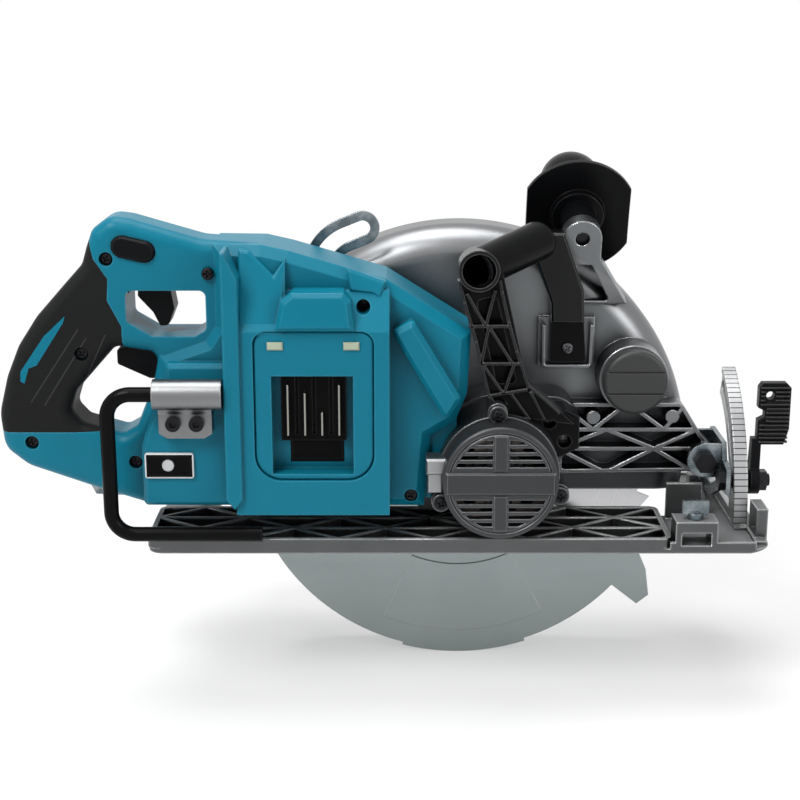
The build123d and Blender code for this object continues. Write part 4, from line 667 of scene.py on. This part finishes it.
gloss_black = (0.0036, 0.0038, 0.0043)
gloss_nylon = moulded("gloss_nylon", gloss_black, rough=0.24, grain=1500.0, depth=0.00003,
                      edge_wear_and_highlight=(0.03, 0.03, 0.032), specular=0.07, glint=1.0)
dress(gloss_nylon, "front_grip", "front_knob", "knob_guard")
arm_seat = -72.0
arm_screw_end = -43.0
strap_seat = -36.0
strap_screw_end = -21.5
grip_places = [(x, z, arm_seat, arm_screw_end) for x, z in ((53.5, 76.5), (63.1, 64.2))]
grip_places.append((67.8, 113.5, strap_seat, strap_screw_end))
oiled_screw = ground_steel("oiled_screw", (0.10, 0.10, 0.105), rough=0.28)
cross_screws("front_grip_screws", grip_places, oiled_screw)
dress(black_screw, "knob_bolt")
cap_nylon = moulded("cap_nylon", (0.030, 0.031, 0.031), rough=0.4, grain=1900.0, depth=0.00004,
                    edge_wear_and_highlight=(0.07, 0.07, 0.07), radius=0.001, specular=0.3)
dress(cap_nylon, "dust_cap")


# Ribs of the front grip. They stand on the arm's near face, in the same moulding: a wall along each side,
# cross ribs with a zigzag between them, a ring round the bar's open end, and the strap's face. A cast frame
# on the blade case holds the strap's foot.

def band(path, width, far, near):
    """A band along a closed path in X and Z: its points and its blocks of faces.

    A rectangle is carried round the path, from far to near in Y, with its corners half the width to each side
    of the path along its normal there.
    """
    path = np.array(path, float)
    along = np.roll(path, -1, 0) - np.roll(path, 1, 0)
    along = along / np.linalg.norm(along, axis=1)[:, None]
    out = 0.5 * width * np.stack([along[:, 1], -along[:, 0]], -1)
    edges = [(path + out, far), (path + out, near), (path - out, near), (path - out, far)]
    rows = [np.stack([row[:, 0], np.full(len(path), depth), row[:, 1]], -1) for row, depth in edges]
    count = len(path)
    here = np.arange(count)
    beside = np.roll(here, -1)
    blocks = []
    for first in range(4):
        this = first * count
        following = (first + 1) % 4 * count
        blocks.append(np.stack([this + here, this + beside, following + beside, following + here], -1))
    return np.concatenate(rows), blocks


def unit_circle(angle):
    """The points of a circle of radius 1 in X and Z at these angles in radians."""
    return np.stack([np.cos(angle), np.sin(angle)], -1)


left_wall = [(-3.4, 168), (-0.2, 154.8), (6.9, 131), (15.2, 97), (23.4, 85.6)]
right_wall = [(38.5, 103.5), (31.2, 125), (26.1, 143), (21.9, 160.6), (20.4, 168)]
cross_ribs = [[(2.5, 140), (27, 140)], [(9.5, 117), (34, 117)], [(15, 97), (38.5, 101)]]
zigzag = [[(1, 160), (12.5, 140), (18, 162)], [(10, 117), (14.5, 140), (29, 117)]]
zigzag.append([(11, 117), (24, 98), (30, 117)])
foot_ribs = [[(23.4, 85.6), (40, 82)], [(38.5, 103.5), (58, 86)], [(28, 99), (40, 82)], [(40, 100), (49, 82)]]
rib_lines = [left_wall, right_wall] + cross_ribs + zigzag + foot_ribs
grip_ribs = ribs(rib_lines, width=2.2, far=-88.0, near=-94.5, bevel=0.5)
bar_centre = (8.0, 174.2)
ring_radius = 11.2
ring_path = bar_centre + ring_radius * unit_circle(np.linspace(0.0, 2.0 * np.pi, 64, endpoint=False))
grip_ribs.append(band(ring_path, width=2.4, far=-82.0, near=-99.0))
strap_face = [(46, 172), (56, 145), (56.5, 132), (77, 132), (76, 153), (63, 189), (50, 189)]
grip_ribs.append(plate(strap_face, far=-33.0, near=-49.0, bevel=1.2))
# The ribs' edges are painted far paler than the black, as a painted highlight.
rib_nylon = moulded("rib_nylon", gloss_black, rough=0.2, grain=1500.0, depth=0.00003,
                    edge_wear_and_highlight=(0.11, 0.11, 0.115), radius=0.001, specular=0.2, glint=1.0)
fitted("grip_ribs", grip_ribs, rib_nylon, "saw_head")
frame_line = [(52.5, 129), (52.8, 102), (82.5, 102), (83, 129)]
strap_frame = ribs([frame_line], width=2.4, far=-26.0, near=-39.0, bevel=0.5)
fitted("strap_frame", strap_frame, case_alloy, "saw_head")


# Depth guide, depth lever and front bracket. Pressed steel plate with bright zinc plating: a cool grey with
# a faint fine spangle. The guide is a slotted strap, bent along an arc about the depth pivot.

def zinc_plate():
    """Zinc plating: fine crystals of a cool grey in dull and bright patches, with a rolled grain."""
    dull = (0.12, 0.15, 0.165)
    edge_wear_and_highlight = (0.22, 0.245, 0.26)
    material, shader, place = begin("zinc_plate", metallic=1.0)
    rounded, edge = rounded_edges(place, 0.0007)
    crystal = place.node("TexVoronoi", {}, {"Vector": place, "Scale": 900.0}, "Color")
    shade = place.node("SeparateColor", {}, {"Color": crystal})
    grain = noise(place, 700.0)
    patch = ((noise(place, 110.0, 3.0) - 0.4) * 4.0).held()
    bright = shade.between((0.24, 0.27, 0.285), (0.30, 0.33, 0.345))
    # Edges go towards a paler grey, partly wear and partly a painted highlight.
    colour = edge.between(patch.between(dull, bright), edge_wear_and_highlight)
    join(shader, place, colour, 0.27 + 0.1 * (grain - 0.5), grain, 0.00001, rounded)
    return material


zinc = zinc_plate()
dress(zinc, "depth_lever", "front_bracket", "depth_clamp_bolt")
dress(black_screw, "depth_pivot_bolt", "bevel_clamp_bolt")


def guide_line():
    """The middle of the guide's strap: an arc about the depth pivot, a tighter arc and a straight run."""
    pivot = (157.0, 41.5)
    reach = 277.0
    foot = -4.5
    top = 28.5
    lean = 22.0
    bend = 26.0
    run = 12.0
    arc = pivot + reach * unit_circle(np.radians(np.linspace(180.0 - foot, 180.0 - top, 60)))
    centre = arc[-1] + bend * unit_circle(np.radians(-top))
    curve = centre + bend * unit_circle(np.radians(np.linspace(180.0 - top, 90.0 + lean, 24)))[1:]
    straight = curve[-1] + run * unit_circle(np.radians([lean]))
    return np.concatenate([arc, curve, straight])


def slotted_loop(line, gap):
    """A closed path that runs along both sides of a line at half the gap, with a half circle at each end."""
    along = np.gradient(line, axis=0)
    along = along / np.linalg.norm(along, axis=1)[:, None]
    out = np.stack([along[:, 1], -along[:, 0]], -1)
    half = 0.5 * gap
    swing = np.linspace(0.0, np.pi, 18)[1:-1, None]
    tip = line[-1] + half * (np.cos(swing) * out[-1] + np.sin(swing) * along[-1])
    heel = line[0] - half * (np.cos(swing) * out[0] + np.sin(swing) * along[0])
    return np.concatenate([line + half * out, tip, (line - half * out)[::-1], heel])


guide_far = -30.0
guide_near = -33.0
guide_bevel = 0.2
foot_rear = 171.0
foot_front = 165.0
foot_low = 11.0
foot_high = 24.0
hinge_y = 22.0
hinge_z = 8.0
knuckle_radius = 4.7
knuckle_far = hinge_y + knuckle_radius
guide_loop = slotted_loop(guide_line(), gap=15.4)
guide_forms = [band(guide_loop, width=5.8, far=guide_far, near=guide_near)]
guide_foot = [(-foot_rear, foot_low), (-119, foot_low), (-122, foot_high), (-foot_rear, foot_high)]
guide_forms.append(plate(guide_foot, guide_far, guide_near, guide_bevel))
cross_foot = rectangle(-foot_rear, -foot_front, foot_low, foot_high)
guide_forms.append(plate(cross_foot, knuckle_far, guide_near, guide_bevel))
underside = (hinge_y, hinge_z) + knuckle_radius * unit_circle(np.linspace(np.pi, 2.0 * np.pi, 24))
knuckle = underside.tolist() + [(knuckle_far, foot_high), (hinge_y - knuckle_radius, foot_high)]
knuckle_points, knuckle_blocks = plate(knuckle, foot_rear, foot_front, guide_bevel)
turned_to_x = knuckle_points[:, [1, 0, 2]] * (-1.0, 1.0, 1.0)
guide_forms.append((turned_to_x, knuckle_blocks))
slotted_guide = fitted("slotted_guide", guide_forms, zinc, "tilt_frame")
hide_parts("depth_guide")


# Bevel guide and its clamp. The quadrant is a bright casting with a graduated rim, fixed on the base, which
# tilts on steel pins; the clamp lever is black nylon with ribs across the thumb's place.

def graduated_quadrant():
    """Bright casting with dark lines at equal angles about the bevel hinge, on the rim beyond a radius."""
    lines_in_turn = 150.0
    line_share = 0.16
    rim_radius = 0.086
    line_grey = (0.03, 0.03, 0.031)
    material = cast_alloy("quadrant_alloy", dark=(0.33, 0.335, 0.34), light=(0.40, 0.405, 0.41),
                          bright=(0.8, 0.8, 0.8), rough=0.38)
    shader, place, alloy = reopened(material)
    across = mm * hinge_y - place.axis("Y")
    height = place.axis("Z") - mm * hinge_z
    angle = place.maths("ARCTAN2", height, across)
    step = place.maths("FRACT", angle * (lines_in_turn / (2.0 * np.pi)), 0.0)
    rim = (across * across + height * height) > rim_radius ** 2
    lined = ((step < line_share) * rim).between(alloy, line_grey)
    material.node_tree.links.new(lined.socket, shader.inputs["Base Color"])
    return material


dress(graduated_quadrant(), "bevel_guide")
dress(plain_steel, "bevel_pins")
dress(black_nylon, "bevel_lever")
thumb_near = -62.33
thumb_lines = []
for z in np.arange(59.0, 96.0, 2.7):
    spans = [(191.0, 205.0)] if 71.0 < z < 81.0 else [(187.0, 205.0)]
    if 84.5 < z < 92.0:
        spans = [(187.0, 189.8), (196.2, 205.0)]
    thumb_lines += [[(left, z), (right, z)] for left, right in spans]
thumb_ribs = ribs(thumb_lines, width=1.3, far=thumb_near + 2.0, near=thumb_near - 1.4, bevel=0.4)
fitted("thumb_ribs", thumb_ribs, rib_nylon, "bevel_lever_body")


# Base. A die-cast shoe with open ribs: its sides are dark as cast, and the tops of its ribs are blasted dull,
# with a paler colour painted on them as light from above. Its edges are paler from wear along the work and a
# painted highlight, and its pockets carry painted shade. A zinc plated screw holds a fence in the front
# bridge.

def shoe_alloy():
    """Die casting: faces that look up are dull and painted paler as light from above, sides are dark, pockets
    carry painted shade, and edges are paler from wear and a painted highlight.
    """
    bright = (0.62, 0.63, 0.63)
    painted_pocket_shade = (0.028, 0.028, 0.029)
    material, shader, place = begin("shoe_alloy", metallic=1.0)
    rounded, edge = rounded_edges(place, 0.0018)
    cloud, grain = casting_skin(place)
    level = place.node("NewGeometry", {}, {}, "True Normal").axis("Z")
    up = ((level - 0.4) * 2.0).held()
    # Faces that look up get the paler colour: painted light from above.
    side = cloud.between((0.082, 0.084, 0.086), (0.112, 0.115, 0.117))
    top = cloud.between((0.120, 0.123, 0.125), (0.165, 0.168, 0.170))
    clean = edge.between(up.between(side, top), bright)
    # Hollows go towards near black: painted shade.
    colour = open_air(place, 0.009).between(painted_pocket_shade, clean)
    rough = 0.34 + 0.14 * up + 0.14 * (grain - 0.5) - 0.1 * edge
    place.tree.links.new((1.0 - 0.8 * up).socket, shader.inputs["Metallic"])
    join(shader, place, colour, rough, grain, 0.00005, rounded)
    return material


dress(shoe_alloy(), "base_plate")
dress(zinc, "fence_screw")


# Floor, lights and camera of the studio: a pale floor that runs out to white, large soft lamps and a camera
# a little above the saw, square to its motor side.

def plain_view(place):
    """1 on rays from the camera and on those by way of gloss or glass, and 0 on the others."""
    kinds = ("Is Camera Ray", "Is Glossy Ray", "Is Transmission Ray")
    direct, glossy, through = [place.node("LightPath", {}, {}, kind) for kind in kinds]
    return (direct + glossy + through).held()


floor_level = cad_box[0][2]
half_side = 6.0
floor_corners = [(x, y, floor_level) for x, y in rectangle(-half_side, half_side, -half_side, half_side)]
floor_mesh = bpy.data.meshes.new("floor")
floor_mesh.from_pydata(floor_corners, [], [(0, 1, 2, 3)])
floor = bpy.data.objects.new("floor", floor_mesh)
bpy.context.scene.collection.objects.link(floor)
white = (1.0, 1.0, 1.0, 1.0)
pale, pale_shader, pale_place = begin("pale_floor", specular=0.0)
pale_shader.inputs["Base Color"].default_value = (0.92, 0.92, 0.92, 1.0)
pale_shader.inputs["Roughness"].default_value = 0.9
fade = 0.45 + 0.55 * ((pale_place.length() - 0.3) * 2.2).held()
glow = pale_place.node("Emission", {}, {"Color": white, "Strength": 1.0})
paper = Term(pale.node_tree, pale_shader.outputs[0])
sheet = pale_place.node("MixShader", {}, {0: fade * plain_view(pale_place), 1: paper, 2: glow})
pale.node_tree.links.new(sheet.socket, pale.node_tree.nodes["Material Output"].inputs["Surface"])
floor_mesh.materials.append(pale)

world = bpy.data.worlds.new("studio")
bpy.context.scene.world = world
world.use_nodes = True
backdrop = world.node_tree.nodes["Background"]
strength = 0.24 + 0.76 * plain_view(Term(world.node_tree))
world.node_tree.links.new(strength.socket, backdrop.inputs["Strength"])
backdrop.inputs["Color"].default_value = white


def lamp(name, place, size, power):
    """A square soft lamp at a place in metres that faces the middle of the saw."""
    middle = Vector((0.0, 0.0, 0.05))
    data = bpy.data.lights.new(name, "AREA")
    data.size = size
    data.energy = power
    piece = bpy.data.objects.new(name, data)
    piece.location = place
    aim = middle - Vector(place)
    piece.rotation_euler = aim.to_track_quat("-Z", "Y").to_euler()
    bpy.context.scene.collection.objects.link(piece)


lamp("key", (-1.0, -1.2, 1.6), size=0.8, power=35.0)
lamp("fill", (1.3, -1.1, 0.7), size=0.7, power=8.0)
lamp("top", (-0.2, 0.1, 1.8), size=1.2, power=28.0)

sensor_width = 36.0
focal_pixels = 1564.4
image_pixels = 800
camera_data = bpy.data.cameras.new("camera")
camera_data.sensor_width = sensor_width
camera_data.lens = sensor_width * focal_pixels / image_pixels
camera = bpy.data.objects.new("camera", camera_data)
camera.location = (-0.03875, -1.0083, 0.3396)
camera.rotation_euler = (radians(75.0), 0.0, 0.0)
bpy.context.scene.collection.objects.link(camera)
bpy.context.scene.camera = camera
bpy.context.scene.view_settings.view_transform = "Standard"
